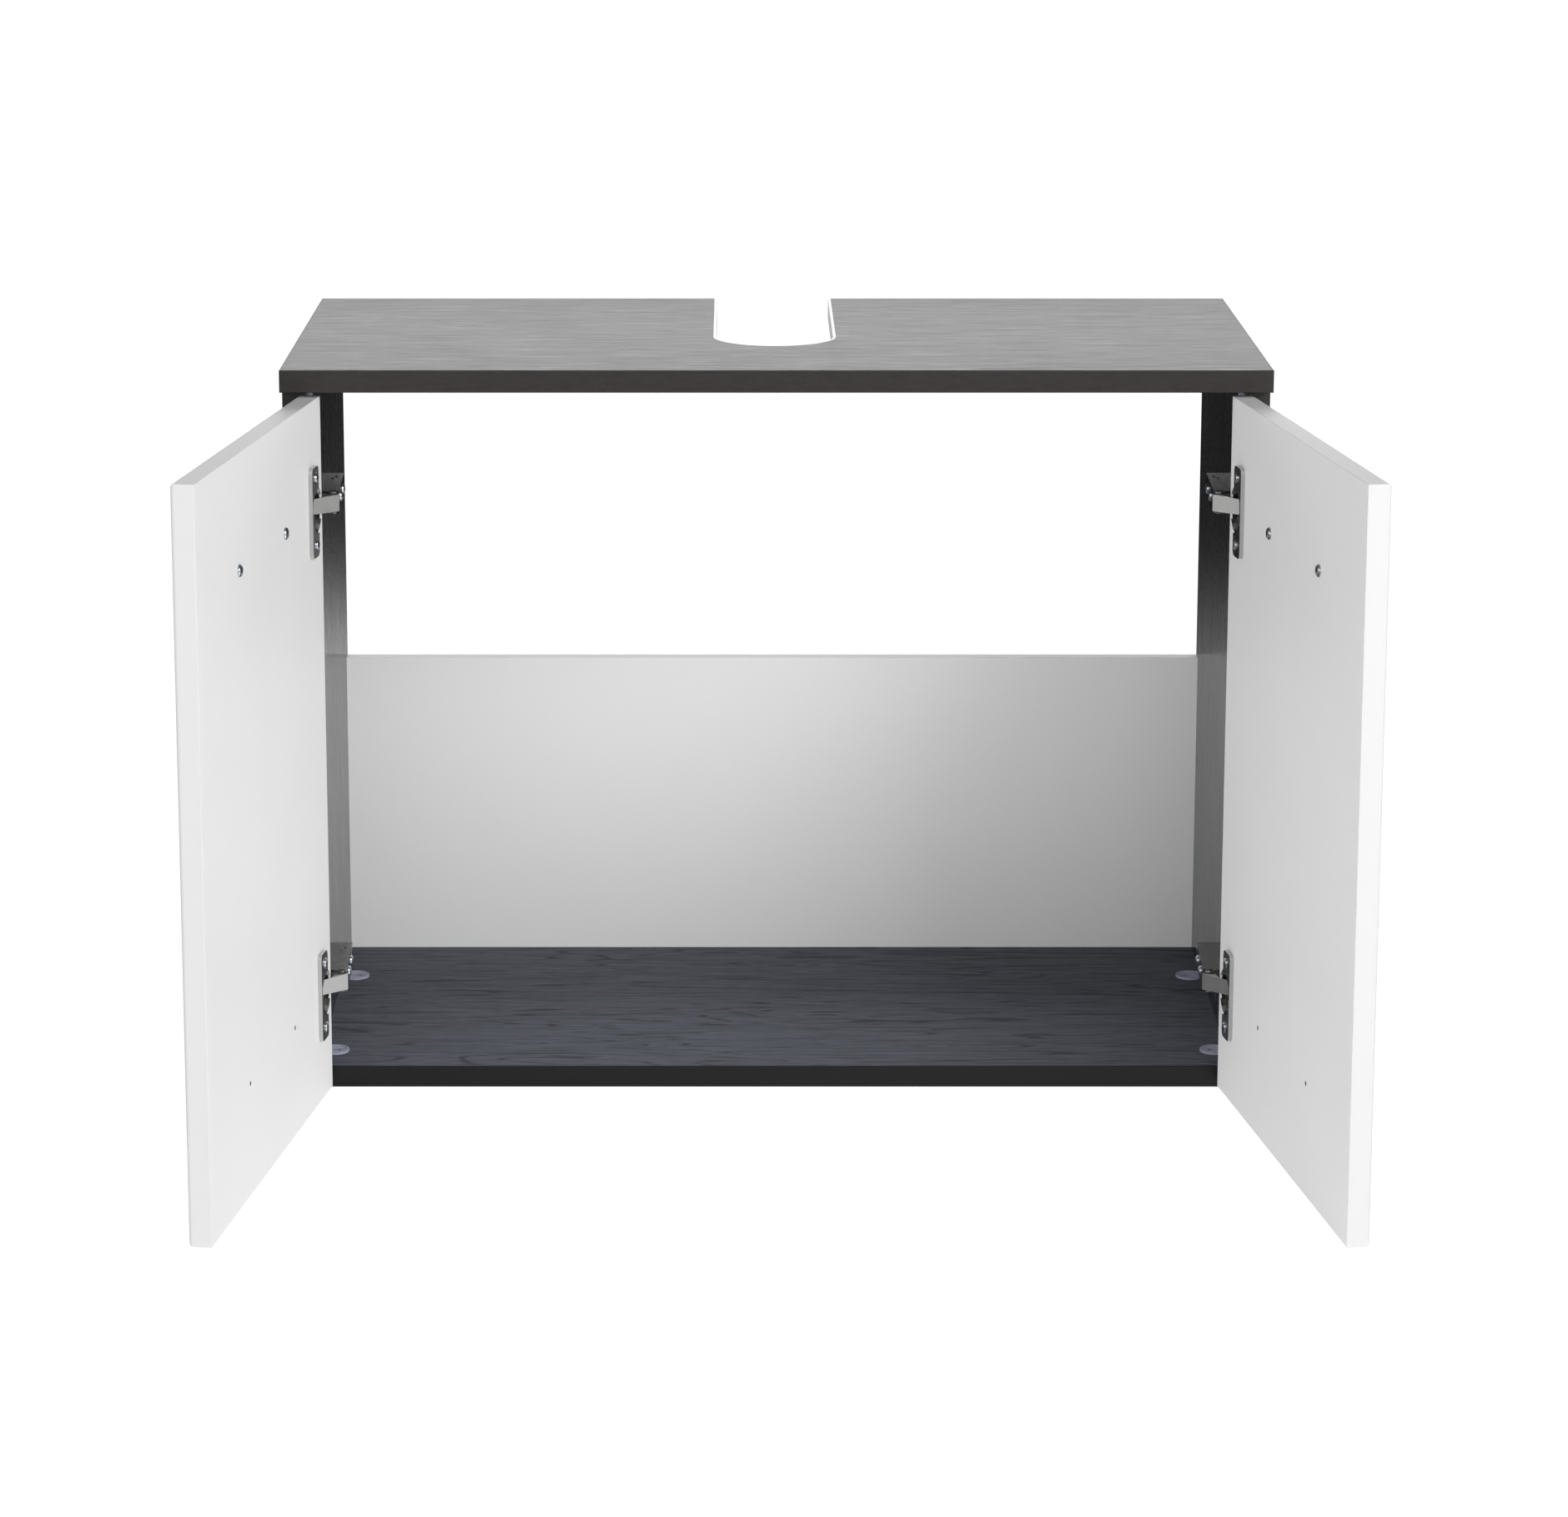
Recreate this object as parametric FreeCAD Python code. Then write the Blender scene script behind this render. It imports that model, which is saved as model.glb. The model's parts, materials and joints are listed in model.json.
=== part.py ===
"""Sink base cabinet: flat-pack carcass with a siphon cut-out, two overlay doors on concealed cup hinges.

Frame: X to the right, Y to the back, Z up, millimetres. The origin is the middle of the floor panel's underside.
The doors are modelled open, as the cabinet stands with its doors swung back.
The left half is modelled first; the right half is its mirror image in the plane X = 0.
"""
import FreeCAD
import Part
import os

Vector = FreeCAD.Vector
X_AXIS = Vector(1, 0, 0)
Y_AXIS = Vector(0, 1, 0)
Z_AXIS = Vector(0, 0, 1)

# ---------------------------------------------------------------- carcass boards
width = 700.0                # over the two side panels, and the length of the top panel
height = 533.0               # underside of the floor panel to the upper face of the top panel
side_depth = 322.0           # front edge to back edge of a side panel
top_board = 16.0             # thickness of the top panel
side_board = 16.0            # thickness of a side panel
floor_board = 16.0           # thickness of the floor panel
back_board = 12.0            # thickness of the low back panel
back_height = 236.0          # the low back panel above the floor panel
top_front_overhang = 20.0    # top panel in front of the side panels
top_back_overhang = 10.0     # top panel behind the side panels
edge_band = 1.0              # thickness of the plastic band glued to every visible edge
band_round = 0.7             # rounding of the band's outer corners

# siphon cut-out, open to the back
cutout_width = 86.0          # clear width between the white edging's two arms
cutout_depth = 238.0         # clear depth from the top panel's back edge
cutout_edging = 2.0          # thickness of the white edging

# ---------------------------------------------------------------- joints between the boards
system_pitch = 32.0          # spacing of drillings along a panel edge
first_hole = 37.0            # first drilling behind the side panel's front edge
second_hole_steps = 6        # pitches from the first connector to the second
connector_diameter = 20.0    # plastic housing let into the board's face
connector_depth = 12.5       # depth of the housing
connector_inset = 9.5        # centre of the housing to the board's end
connector_rim = 0.6          # height of the housing's rim above the board
connector_rim_width = 1.4    # width of that rim
cam_diameter = 9.0           # the screw that clamps the bolt
cam_offset = 3.2             # centre of that screw from the housing's centre
cam_depth = 8.0
cam_slot_length = 6.4        # cross slot in the screw
cam_slot_width = 1.5
cam_slot_depth = 2.0
bolt_thread_diameter = 5.0
bolt_thread_length = 11.0    # screwed into the neighbouring board
bolt_neck_length = 3.0
bolt_head_diameter = 7.5
bolt_head_length = 2.2
dowel_diameter = 8.0
dowel_length = 30.0
dowel_short_end = 10.0       # length of a dowel in the board whose face it enters
dowel_steps = (1, 7)         # pitches behind the first drilling
back_dowel_diameter = 6.0
back_dowel_inset = 40.0      # dowels of the back panel from its lower and upper edges

# ---------------------------------------------------------------- doors
door_board = 16.0
door_reveal = 1.0            # door's hinge edge inside the carcass's outer face
door_centre_gap = 3.0        # between the two closed doors
door_bottom_gap = 3.0        # door above the floor panel's underside
door_top_gap = 4.0           # door below the top panel
door_back_gap = 3.0          # closed door in front of the side panels
door_round = 3.0             # rounding around the outer face
door_inner_round = 0.6
open_angle = 98.3            # turn from closed to open
open_corner_in = 27.6        # inner hinge corner of the open door, from the carcass's outer face
open_corner_front = 7.5      # inner hinge corner of the open door, in front of the side panel

# ---------------------------------------------------------------- handles
handle_pitch = 128.0         # between the two screws
handle_inset = 78.0          # screw line below the door's top edge
handle_height = 26.0         # handle's outer face above the door
handle_overrun = 6.0         # bar beyond each screw
handle_bar = 10.0            # bar across its length
handle_thickness = 6.0       # bar in the direction of the pull
handle_corner = 12.0         # outer radius of each bend
handle_edge_round = 1.5      # rounding of the bar's four long edges
handle_bore_depth = 12.0     # threaded bore in each leg
handle_screw_diameter = 4.0
handle_head_diameter = 8.6
handle_head_height = 2.4
driver_slot_width = 1.2      # cross slot of every screw head
driver_slot_depth = 1.1
driver_slot_share = 0.55     # slot's length as a share of the head's diameter
head_crown_share = 0.6       # rounded part of a head's height
pilot_diameter = 3.5         # spare handle drillings for the other way up
pilot_depth = 12.0

# ---------------------------------------------------------------- hinges
hinge_inset = 78.0           # hinge centre from the door's top or bottom edge
cup_diameter = 35.0
cup_depth = 12.0
cup_edge = 5.0               # cup's rim from the door's hinge edge
cup_wall = 1.0
cup_rim_thickness = 1.0      # thin rim beside the side panel
cup_mouth_width = 17.4       # opening for the link and the arm's nose
cup_mouth_end = 38.3         # far end of that opening, from the door's hinge edge
cup_notch_depth = 2.5        # mouth cut down into the cup's wall
wing_width = 15.0
wing_length = 64.7
wing_thickness = 3.0
wing_round = 4.0
wing_screw_pitch = 48.0
wing_offset = 6.0            # screw line from the cup's centre
cup_screw_diameter = 3.5
cup_screw_length = 11.0
cup_head_diameter = 7.0
cup_head_height = 1.6
cup_pin_in = 11.5            # pin in the cup: from the door's hinge edge
cup_pin_deep = 6.0           # pin in the cup: below the door's inner face
cup_pin_diameter = 2.6       # its ends are flush with the cup's outer wall
arm_pin_reach = 24.0         # arm pin from the line between the cup pin's closed and open places
arm_pin_diameter = 3.0
running_clearance = 0.05     # between a pin and the link that turns on it
link_width = 12.0
link_thickness = 2.0
link_eye_wall = 1.1
link_bow = 5.0               # rise of the curved link over its chord
arm_width = 16.0
arm_sheet = 1.5
arm_nose_radius = 4.0
arm_back = 72.0              # arm's back end behind the side panel's front edge
arm_back_drop = 1.8          # arm's back end nearer to the side panel than its nose
arm_foot_start = 16.0        # front end of the arm's foot on the mounting plate
arm_web_start = 5.5          # front end of the arm's web
plate_thickness = 2.5
plate_block_width = 12.6
plate_block_height = 11.5
plate_block_start = 18.0
plate_block_end = 66.0
plate_start = 14.0
plate_end = 68.0
plate_width = 20.0
plate_wing_span = 46.0
plate_wing_width = 14.0
plate_wing_round = 5.6
plate_screw_pitch = 32.0
plate_screw_diameter = 5.0
plate_screw_length = 12.0
plate_head_diameter = 8.0
plate_head_height = 1.8
arm_screw_places = (25.0, 52.0)   # adjusting screw and fixing screw behind the side panel's front edge
arm_screw_diameter = 5.0
arm_head_diameter = 7.5
arm_head_height = 2.4
arm_screw_end = 22.0         # tip of these screws from the carcass's outer face
arm_screw_sink = 0.45        # heads of these screws let into the arm's web

# ---------------------------------------------------------------- modelling allowances
overshoot = 1.0              # how far a cutter runs past the faces that it cuts
far_past = 50.0              # how far a cutter with an open side runs past the piece
same_place = 1e-4            # coordinates closer than this are equal

# ---------------------------------------------------------------- places worked out from the sizes above
left = -width / 2
front = -side_depth / 2      # front edges of the side panels
back = side_depth / 2
side_height = height - top_board
inner_left = left + side_board
top_front = front - top_front_overhang
top_back = back + top_back_overhang
back_inner = back - back_board
back_top = floor_board + back_height
door_width = width / 2 - door_reveal - door_centre_gap / 2
door_bottom = door_bottom_gap
door_top = side_height - door_top_gap
door_hinge_edge = left + door_reveal
door_inner_face = front - door_back_gap
hinge_heights = (door_bottom + hinge_inset, door_top - hinge_inset)
connector_places = (front + first_hole, front + first_hole + second_hole_steps * system_pitch)
dowel_places = tuple(front + first_hole + step * system_pitch for step in dowel_steps)


# ---------------------------------------------------------------- plain shapes
def box(x0, y0, z0, x1, y1, z1):
    return Part.makeBox(x1 - x0, y1 - y0, z1 - z0, Vector(x0, y0, z0))


def rod(start, direction, length, diameter):
    return Part.makeCylinder(diameter / 2, length, start, direction)


def outline(points, z0, z1):
    """A closed flat outline through (x, y) points, raised from z0 to z1."""
    corners = [Vector(x, y, z0) for x, y in points]
    face = Part.Face(Part.makePolygon(corners + corners[:1]))
    return face.extrude(Vector(0, 0, z1 - z0))


def joined(shapes):
    whole = shapes[0].multiFuse(shapes[1:]) if len(shapes) > 1 else shapes[0]
    return whole.removeSplitter()


def rounded(shape, radius, keep):
    """Rounds the edges for which keep(edge) is true."""
    return shape.makeFillet(radius, [edge for edge in shape.Edges if keep(edge)])


def on_plane(edge, axis, place):
    """Whether both ends and the middle of an edge have this coordinate."""
    ends = [vertex.Point for vertex in edge.Vertexes] + [edge.valueAt((edge.FirstParameter + edge.LastParameter) / 2)]
    return all(abs(getattr(point, axis) - place) < same_place for point in ends)


def mirrored(shape):
    return shape.mirror(Vector(0, 0, 0), X_AXIS)


def cross_slot(centre, direction, length, slot_width, depth):
    """The cutter for a cross slot in a head whose outer face is at centre; direction points into the head."""
    bars = []
    for across, along in ((slot_width, length), (length, slot_width)):
        bar = Part.makeBox(across, along, depth, Vector(-across / 2, -along / 2, 0))
        bars.append(bar)
    cutter = joined(bars)
    cutter.Placement = FreeCAD.Placement(centre, FreeCAD.Rotation(Z_AXIS, direction))
    return cutter


def pan_screw(seat, direction, head_diameter, head_height, shank_diameter, shank_length):
    """A pan-head screw seated at a face; direction points into the face."""
    outwards = direction * -1
    head = rod(seat, outwards, head_height, head_diameter)
    head = rounded(head, head_height * head_crown_share,
                   lambda edge: abs((edge.CenterOfMass - seat).dot(outwards) - head_height) < same_place)
    shank = rod(seat, direction, shank_length, shank_diameter)
    slot = cross_slot(seat + outwards * head_height, direction, head_diameter * driver_slot_share,
                      driver_slot_width, driver_slot_depth)
    return joined([head, shank]).cut(slot)


# ---------------------------------------------------------------- board joints
def connector_bolt(face_point, direction):
    """Bolt screwed into one board at face_point; direction points out of that board, into the housing."""
    thread = rod(face_point - direction * bolt_thread_length, direction, bolt_thread_length, bolt_thread_diameter)
    neck = rod(face_point, direction, bolt_neck_length, bolt_thread_diameter)
    head = rod(face_point + direction * bolt_neck_length, direction, bolt_head_length, bolt_head_diameter)
    return joined([thread, neck, head])


def housing_bore(face_centre, outwards):
    return rod(face_centre, outwards * -1, connector_depth, connector_diameter)


def connector_housing(face_centre, outwards, end_direction):
    """Round housing sunk in a board's face, cut flat at the board's end; it has a low rim on the face."""
    body = housing_bore(face_centre, outwards)
    rim = rod(face_centre, outwards, connector_rim, connector_diameter)
    rim = rim.cut(rod(face_centre, outwards, connector_rim, connector_diameter - 2 * connector_rim_width))
    housing = joined([body, rim])
    beyond = Part.makeBox(2 * far_past, 2 * far_past, far_past, Vector(-far_past, -far_past, 0))
    beyond.Placement = FreeCAD.Placement(face_centre + end_direction * connector_inset,
                                         FreeCAD.Rotation(Z_AXIS, end_direction))
    return housing.cut(beyond)


def connector_cam(face_centre, outwards, end_direction):
    """The clamping screw in the housing, off the centre and away from the board's end."""
    centre = face_centre - end_direction * cam_offset
    screw = rod(centre, outwards * -1, cam_depth, cam_diameter)
    return screw.cut(cross_slot(centre, outwards * -1, cam_slot_length, cam_slot_width, cam_slot_depth))


def connector_set(face_centre, outwards, end_direction, board_thickness):
    """One complete connector: the housing, its clamping screw and its bolt."""
    end_face = face_centre + end_direction * connector_inset - outwards * (board_thickness / 2)
    bolt = connector_bolt(end_face, end_direction * -1)
    cam = connector_cam(face_centre, outwards, end_direction).cut(bolt)
    housing = connector_housing(face_centre, outwards, end_direction).cut(cam).cut(bolt)
    cam_bore = rod(face_centre - end_direction * cam_offset, outwards * -1, cam_slot_depth, cam_diameter)
    return housing.cut(cam_bore), cam, bolt


def floor_housing_places():
    """Centres of the housings in the floor panel's upper face, at its left end."""
    return [Vector(inner_left + connector_inset, y, floor_board) for y in connector_places]


def top_housing_places():
    """Centres of the housings in the left side panel's inner face, at its upper end."""
    return [Vector(inner_left, y, side_height - connector_inset) for y in connector_places]


def floor_connectors():
    """Housings in the floor panel, bolts in the left side panel."""
    return [connector_set(place, Z_AXIS, X_AXIS * -1, floor_board) for place in floor_housing_places()]


def top_connectors():
    """Housings in the left side panel, bolts in the top panel."""
    return [connector_set(place, X_AXIS, Z_AXIS, side_board) for place in top_housing_places()]


def floor_dowels():
    start = inner_left - dowel_short_end
    return [rod(Vector(start, y, floor_board / 2), X_AXIS, dowel_length, dowel_diameter) for y in dowel_places]


def top_dowels():
    start = side_height + dowel_short_end - dowel_length
    return [rod(Vector(left + side_board / 2, y, start), Z_AXIS, dowel_length, dowel_diameter)
            for y in dowel_places]


def back_dowels():
    start = inner_left - dowel_short_end
    heights = (floor_board + back_dowel_inset, back_top - back_dowel_inset)
    return [rod(Vector(start, back - back_board / 2, z), X_AXIS, dowel_length, back_dowel_diameter)
            for z in heights]


# ---------------------------------------------------------------- carcass
def cutout_outline(half_width, reach):
    """The U-shaped cut-out as a solid: half its width, and its reach forward from the top panel's back edge."""
    below, above = side_height - overshoot, height + overshoot
    straight = box(-half_width, top_back - reach + half_width, below, half_width, top_back + overshoot, above)
    arc = rod(Vector(0, top_back - reach + half_width, below), Z_AXIS, above - below, 2 * half_width)
    return joined([straight, arc])


def top_panel():
    board = box(left + edge_band, top_front + edge_band, side_height, -left - edge_band, top_back, height)
    return board.cut(cutout_outline(cutout_width / 2 + cutout_edging, cutout_depth + cutout_edging))


def cutout_edging_strip():
    ring = cutout_outline(cutout_width / 2 + cutout_edging, cutout_depth + cutout_edging)
    ring = ring.cut(cutout_outline(cutout_width / 2, cutout_depth))
    return ring.common(box(left, top_front, side_height, -left, top_back, height))


def top_edge_bands():
    front_band = box(left, top_front, side_height, -left, top_front + edge_band, height)
    front_band = rounded(front_band, band_round, lambda edge: on_plane(edge, "y", top_front))
    end_band = box(left, top_front + edge_band, side_height, left + edge_band, top_back, height)
    end_band = rounded(end_band, band_round,
                       lambda edge: on_plane(edge, "x", left) and not on_plane(edge, "y", top_front + edge_band))
    return [front_band, end_band, mirrored(end_band)]


def side_panel():
    return box(left, front + edge_band, 0, inner_left, back, side_height)


def front_band_piece(x0, x1, z0, z1):
    strip = box(x0, front, z0, x1, front + edge_band, z1)
    return rounded(strip, band_round, lambda edge: on_plane(edge, "y", front))


def floor_panel():
    return box(inner_left, front + edge_band, 0, -inner_left, back, floor_board)


def back_panel():
    return box(inner_left, back_inner, floor_board, -inner_left, back, back_top - edge_band)


def back_panel_band():
    strip = box(inner_left, back_inner, back_top - edge_band, -inner_left, back, back_top)
    return rounded(strip, band_round, lambda edge: on_plane(edge, "z", back_top)
                   and not on_plane(edge, "x", inner_left) and not on_plane(edge, "x", -inner_left))


# ---------------------------------------------------------------- door, modelled closed and then opened
def door_place(inwards, deep, z):
    """A point of the closed left door: from its hinge edge, below its inner face, and its height."""
    return Vector(door_hinge_edge + inwards, door_inner_face - deep, z)


def opened(shape):
    """Moves a piece of the closed left door to the open door."""
    corner = door_place(0, 0, 0)
    place = shape.copy()
    place.rotate(corner, Z_AXIS, -open_angle)
    place.translate(Vector(left + open_corner_in, front - open_corner_front, 0) - corner)
    return place


def handle_places():
    middle = door_width / 2
    return [middle - handle_pitch / 2, middle + handle_pitch / 2]


def door_panel():
    panel = box(door_hinge_edge, door_inner_face - door_board, door_bottom,
                door_hinge_edge + door_width, door_inner_face, door_top)
    panel = rounded(panel, door_round, lambda edge: on_plane(edge, "y", door_inner_face - door_board))
    panel = rounded(panel, door_inner_round, lambda edge: on_plane(edge, "y", door_inner_face))
    for place in handle_places():
        start = door_place(place, -overshoot, door_bottom + handle_inset)
        panel = panel.cut(rod(start, Y_AXIS * -1, pilot_depth + overshoot, pilot_diameter))
    return panel


def handle():
    """A bow handle of rectangular bar: two legs and a grip, with rounded outer bends."""
    z = door_top - handle_inset
    outer_face = door_inner_face - door_board
    first, second = [door_hinge_edge + place for place in handle_places()]
    x0, x1 = first - handle_overrun, second + handle_overrun
    y0, y1 = outer_face - handle_height, outer_face
    whole = box(x0, y0, z - handle_bar / 2, x1, y1, z + handle_bar / 2)
    whole = rounded(whole, handle_corner, lambda edge: on_plane(edge, "y", y0) and (on_plane(edge, "x", x0)
                                                                                    or on_plane(edge, "x", x1)))
    leg = 2 * handle_overrun
    gap = box(x0 + leg, y0 + handle_thickness, z - handle_bar, x1 - leg, y1 + overshoot, z + handle_bar)
    gap = rounded(gap, handle_corner - handle_thickness, lambda edge: on_plane(edge, "y", y0 + handle_thickness)
                  and (on_plane(edge, "x", x0 + leg) or on_plane(edge, "x", x1 - leg)))
    return rounded(whole.cut(gap), handle_edge_round, lambda edge: on_plane(edge, "z", z - handle_bar / 2)
                   or on_plane(edge, "z", z + handle_bar / 2))


def handle_screws():
    z = door_top - handle_inset
    return [pan_screw(door_place(place, 0, z), Y_AXIS * -1, handle_head_diameter, handle_head_height,
                      handle_screw_diameter, door_board + handle_bore_depth) for place in handle_places()]


# ---------------------------------------------------------------- hinge parts on the door
def cup_body(z):
    """The round of the cup below the door's inner face, which is also the bore that it sits in."""
    return rod(door_place(cup_edge + cup_diameter / 2, 0, z), Y_AXIS * -1, cup_depth, cup_diameter)


def hinge_cup(z):
    """Pressed cup with its two screw wings; the mouth lets the link and the arm's nose in."""
    centre_in = cup_edge + cup_diameter / 2
    wing_middle = centre_in + wing_offset
    into_door = Y_AXIS * -1
    cavity = rod(door_place(centre_in, 0, z), into_door, cup_depth - cup_wall, cup_diameter - 2 * cup_wall)
    rim = rod(door_place(centre_in, -cup_rim_thickness, z), into_door, cup_rim_thickness, cup_diameter)
    wing = box(door_hinge_edge + wing_middle - wing_width / 2, door_inner_face, z - wing_length / 2,
               door_hinge_edge + wing_middle + wing_width / 2, door_inner_face + wing_thickness, z + wing_length / 2)
    wing = rounded(wing, wing_round, lambda edge: not on_plane(edge, "y", door_inner_face)
                   and not on_plane(edge, "y", door_inner_face + wing_thickness)
                   and abs(edge.tangentAt(edge.FirstParameter).y) > 0.5)
    bridge = rod(door_place(centre_in, -wing_thickness, z), into_door, wing_thickness, cup_diameter)
    over_wing = door_inner_face + wing_thickness + overshoot
    bridge = bridge.common(box(door_hinge_edge + wing_middle - wing_width / 2, door_inner_face - overshoot,
                               z - wing_length, door_hinge_edge + centre_in + cup_diameter, over_wing,
                               z + wing_length))
    mouth = box(door_hinge_edge - overshoot, door_inner_face - cup_notch_depth, z - cup_mouth_width / 2,
                door_hinge_edge + cup_mouth_end, over_wing, z + cup_mouth_width / 2)
    return joined([cup_body(z), rim, wing, bridge]).cut(cavity).cut(mouth)


def cup_screws(z):
    middle = cup_edge + cup_diameter / 2 + wing_offset
    return [pan_screw(door_place(middle, -wing_thickness, z + side * wing_screw_pitch / 2), Y_AXIS * -1,
                      cup_head_diameter, cup_head_height, cup_screw_diameter, cup_screw_length + wing_thickness)
            for side in (-1, 1)]


def cup_pin(z):
    pin = rod(door_place(cup_pin_in, cup_pin_deep, z - cup_diameter / 2), Z_AXIS, cup_diameter, cup_pin_diameter)
    return pin.common(cup_body(z))


# ---------------------------------------------------------------- hinge parts on the carcass
def hinge_axes():
    """The cup pin's open place and the arm pin's place; the arm pin is as far from the cup pin open as closed."""
    closed_place = door_place(cup_pin_in, cup_pin_deep, 0)
    open_place = opened(Part.Vertex(closed_place)).Point
    chord = open_place - closed_place
    across = Vector(-chord.y, chord.x, 0).normalize()
    if across.x < 0:
        across = across * -1
    return open_place, (closed_place + open_place) * 0.5 + across * arm_pin_reach


def arc_plate(start, end, rise, thickness, z0, z1):
    """A plate bent along an arc from start to end, which rises by rise to the side of the carcass's middle."""
    chord = end - start
    side = Vector(-chord.y, chord.x, 0).normalize()
    if side.x < 0:
        side = side * -1
    radius = (chord.Length ** 2 / 4 + rise ** 2) / (2 * rise)
    centre = (start + end) * 0.5 + side * (rise - radius)

    def ring_point(point, shift):
        spoke = (point - centre).normalize()
        return centre + spoke * (radius + shift)

    crest = centre + side * radius
    half = thickness / 2
    outer = [ring_point(point, half) for point in (start, crest, end)]
    inner = [ring_point(point, -half) for point in (end, crest, start)]
    edges = [Part.Arc(*outer).toShape(), Part.LineSegment(outer[2], inner[0]).toShape(),
             Part.Arc(*inner).toShape(), Part.LineSegment(inner[2], outer[0]).toShape()]
    plate = Part.Face(Part.Wire(edges)).extrude(Vector(0, 0, z1 - z0))
    plate.translate(Vector(0, 0, z0))
    return plate


def hinge_link(z):
    """The bowed link between the arm pin and the cup pin, with an eye for each."""
    cup_axis, arm_axis = hinge_axes()
    z0, z1 = z - link_width / 2, z + link_width / 2
    plate = arc_plate(cup_axis, arm_axis, link_bow, link_thickness, z0, z1)
    cup_eye = rod(Vector(cup_axis.x, cup_axis.y, z0), Z_AXIS, link_width, cup_pin_diameter + 2 * link_eye_wall)
    arm_eye = rod(Vector(arm_axis.x, arm_axis.y, z0), Z_AXIS, link_width, arm_pin_diameter + 2 * link_eye_wall)
    link = joined([plate, cup_eye, arm_eye])
    for axis, pin in ((cup_axis, cup_pin_diameter), (arm_axis, arm_pin_diameter)):
        link = link.cut(rod(Vector(axis.x, axis.y, z0 - overshoot), Z_AXIS, link_width + 2 * overshoot,
                            pin + 2 * running_clearance))
    return link


def arm_pin(z):
    axis = hinge_axes()[1]
    return rod(Vector(axis.x, axis.y, z - arm_width / 2), Z_AXIS, arm_width, arm_pin_diameter)


def web_face(y):
    """The arm's outer face at this place along the side panel."""
    axis = hinge_axes()[1]
    slope = arm_back_drop / (front + arm_back - axis.y)
    return axis.x + arm_nose_radius - slope * (y - axis.y)


def hinge_arm(z):
    """Channel-shaped arm: two cheeks with a rounded nose around the arm pin, joined by the web."""
    axis = hinge_axes()[1]
    foot = inner_left + plate_thickness
    rear = front + arm_back
    z0, z1 = z - arm_width / 2, z + arm_width / 2
    profile = [(foot, front + arm_foot_start), (foot, rear), (web_face(rear), rear),
               (web_face(axis.y), axis.y), (axis.x - arm_nose_radius, axis.y)]
    solid = joined([outline(profile, z0, z1),
                    rod(Vector(axis.x, axis.y, z0), Z_AXIS, arm_width, 2 * arm_nose_radius)])
    web_front = front + arm_web_start
    inner = [(foot - overshoot, front - far_past), (foot - overshoot, rear + overshoot),
             (web_face(rear) - arm_sheet, rear + overshoot), (web_face(web_front) - arm_sheet, web_front),
             (web_face(web_front) + far_past, web_front), (web_face(web_front) + far_past, front - far_past)]
    return solid.cut(outline(inner, z0 + arm_sheet, z1 - arm_sheet))


def mounting_plate(z):
    """Base plate on the side panel with two screw wings, and the block that the arm is screwed to."""
    foot = inner_left + plate_thickness
    middle = front + first_hole
    base = box(inner_left, front + plate_start, z - plate_width / 2, foot, front + plate_end, z + plate_width / 2)
    wings = box(inner_left, middle - plate_wing_width / 2, z - plate_wing_span / 2,
                foot, middle + plate_wing_width / 2, z + plate_wing_span / 2)
    wings = rounded(wings, plate_wing_round, lambda edge: abs(edge.tangentAt(edge.FirstParameter).x) > 0.5)
    block = box(foot, front + plate_block_start, z - plate_block_width / 2,
                foot + plate_block_height, front + plate_block_end, z + plate_block_width / 2)
    return joined([base, wings, block])


def plate_screws(z):
    seat_x = inner_left + plate_thickness
    return [pan_screw(Vector(seat_x, front + first_hole, z + side * plate_screw_pitch / 2), X_AXIS * -1,
                      plate_head_diameter, plate_head_height, plate_screw_diameter, plate_screw_length)
            for side in (-1, 1)]


def arm_screws(z):
    screws = []
    for place in arm_screw_places:
        y = front + place
        seat = Vector(web_face(y) - arm_screw_sink, y, z)
        screws.append(pan_screw(seat, X_AXIS * -1, arm_head_diameter, arm_head_height,
                                arm_screw_diameter, seat.x - (left + arm_screw_end)))
    return screws


# ---------------------------------------------------------------- assembly
def without(shape, tools):
    for tool in tools:
        shape = shape.cut(tool)
    return shape


def both_sides(shapes):
    """The left half's shapes followed by their mirror images."""
    return list(shapes) + [mirrored(shape) for shape in shapes]


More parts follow.
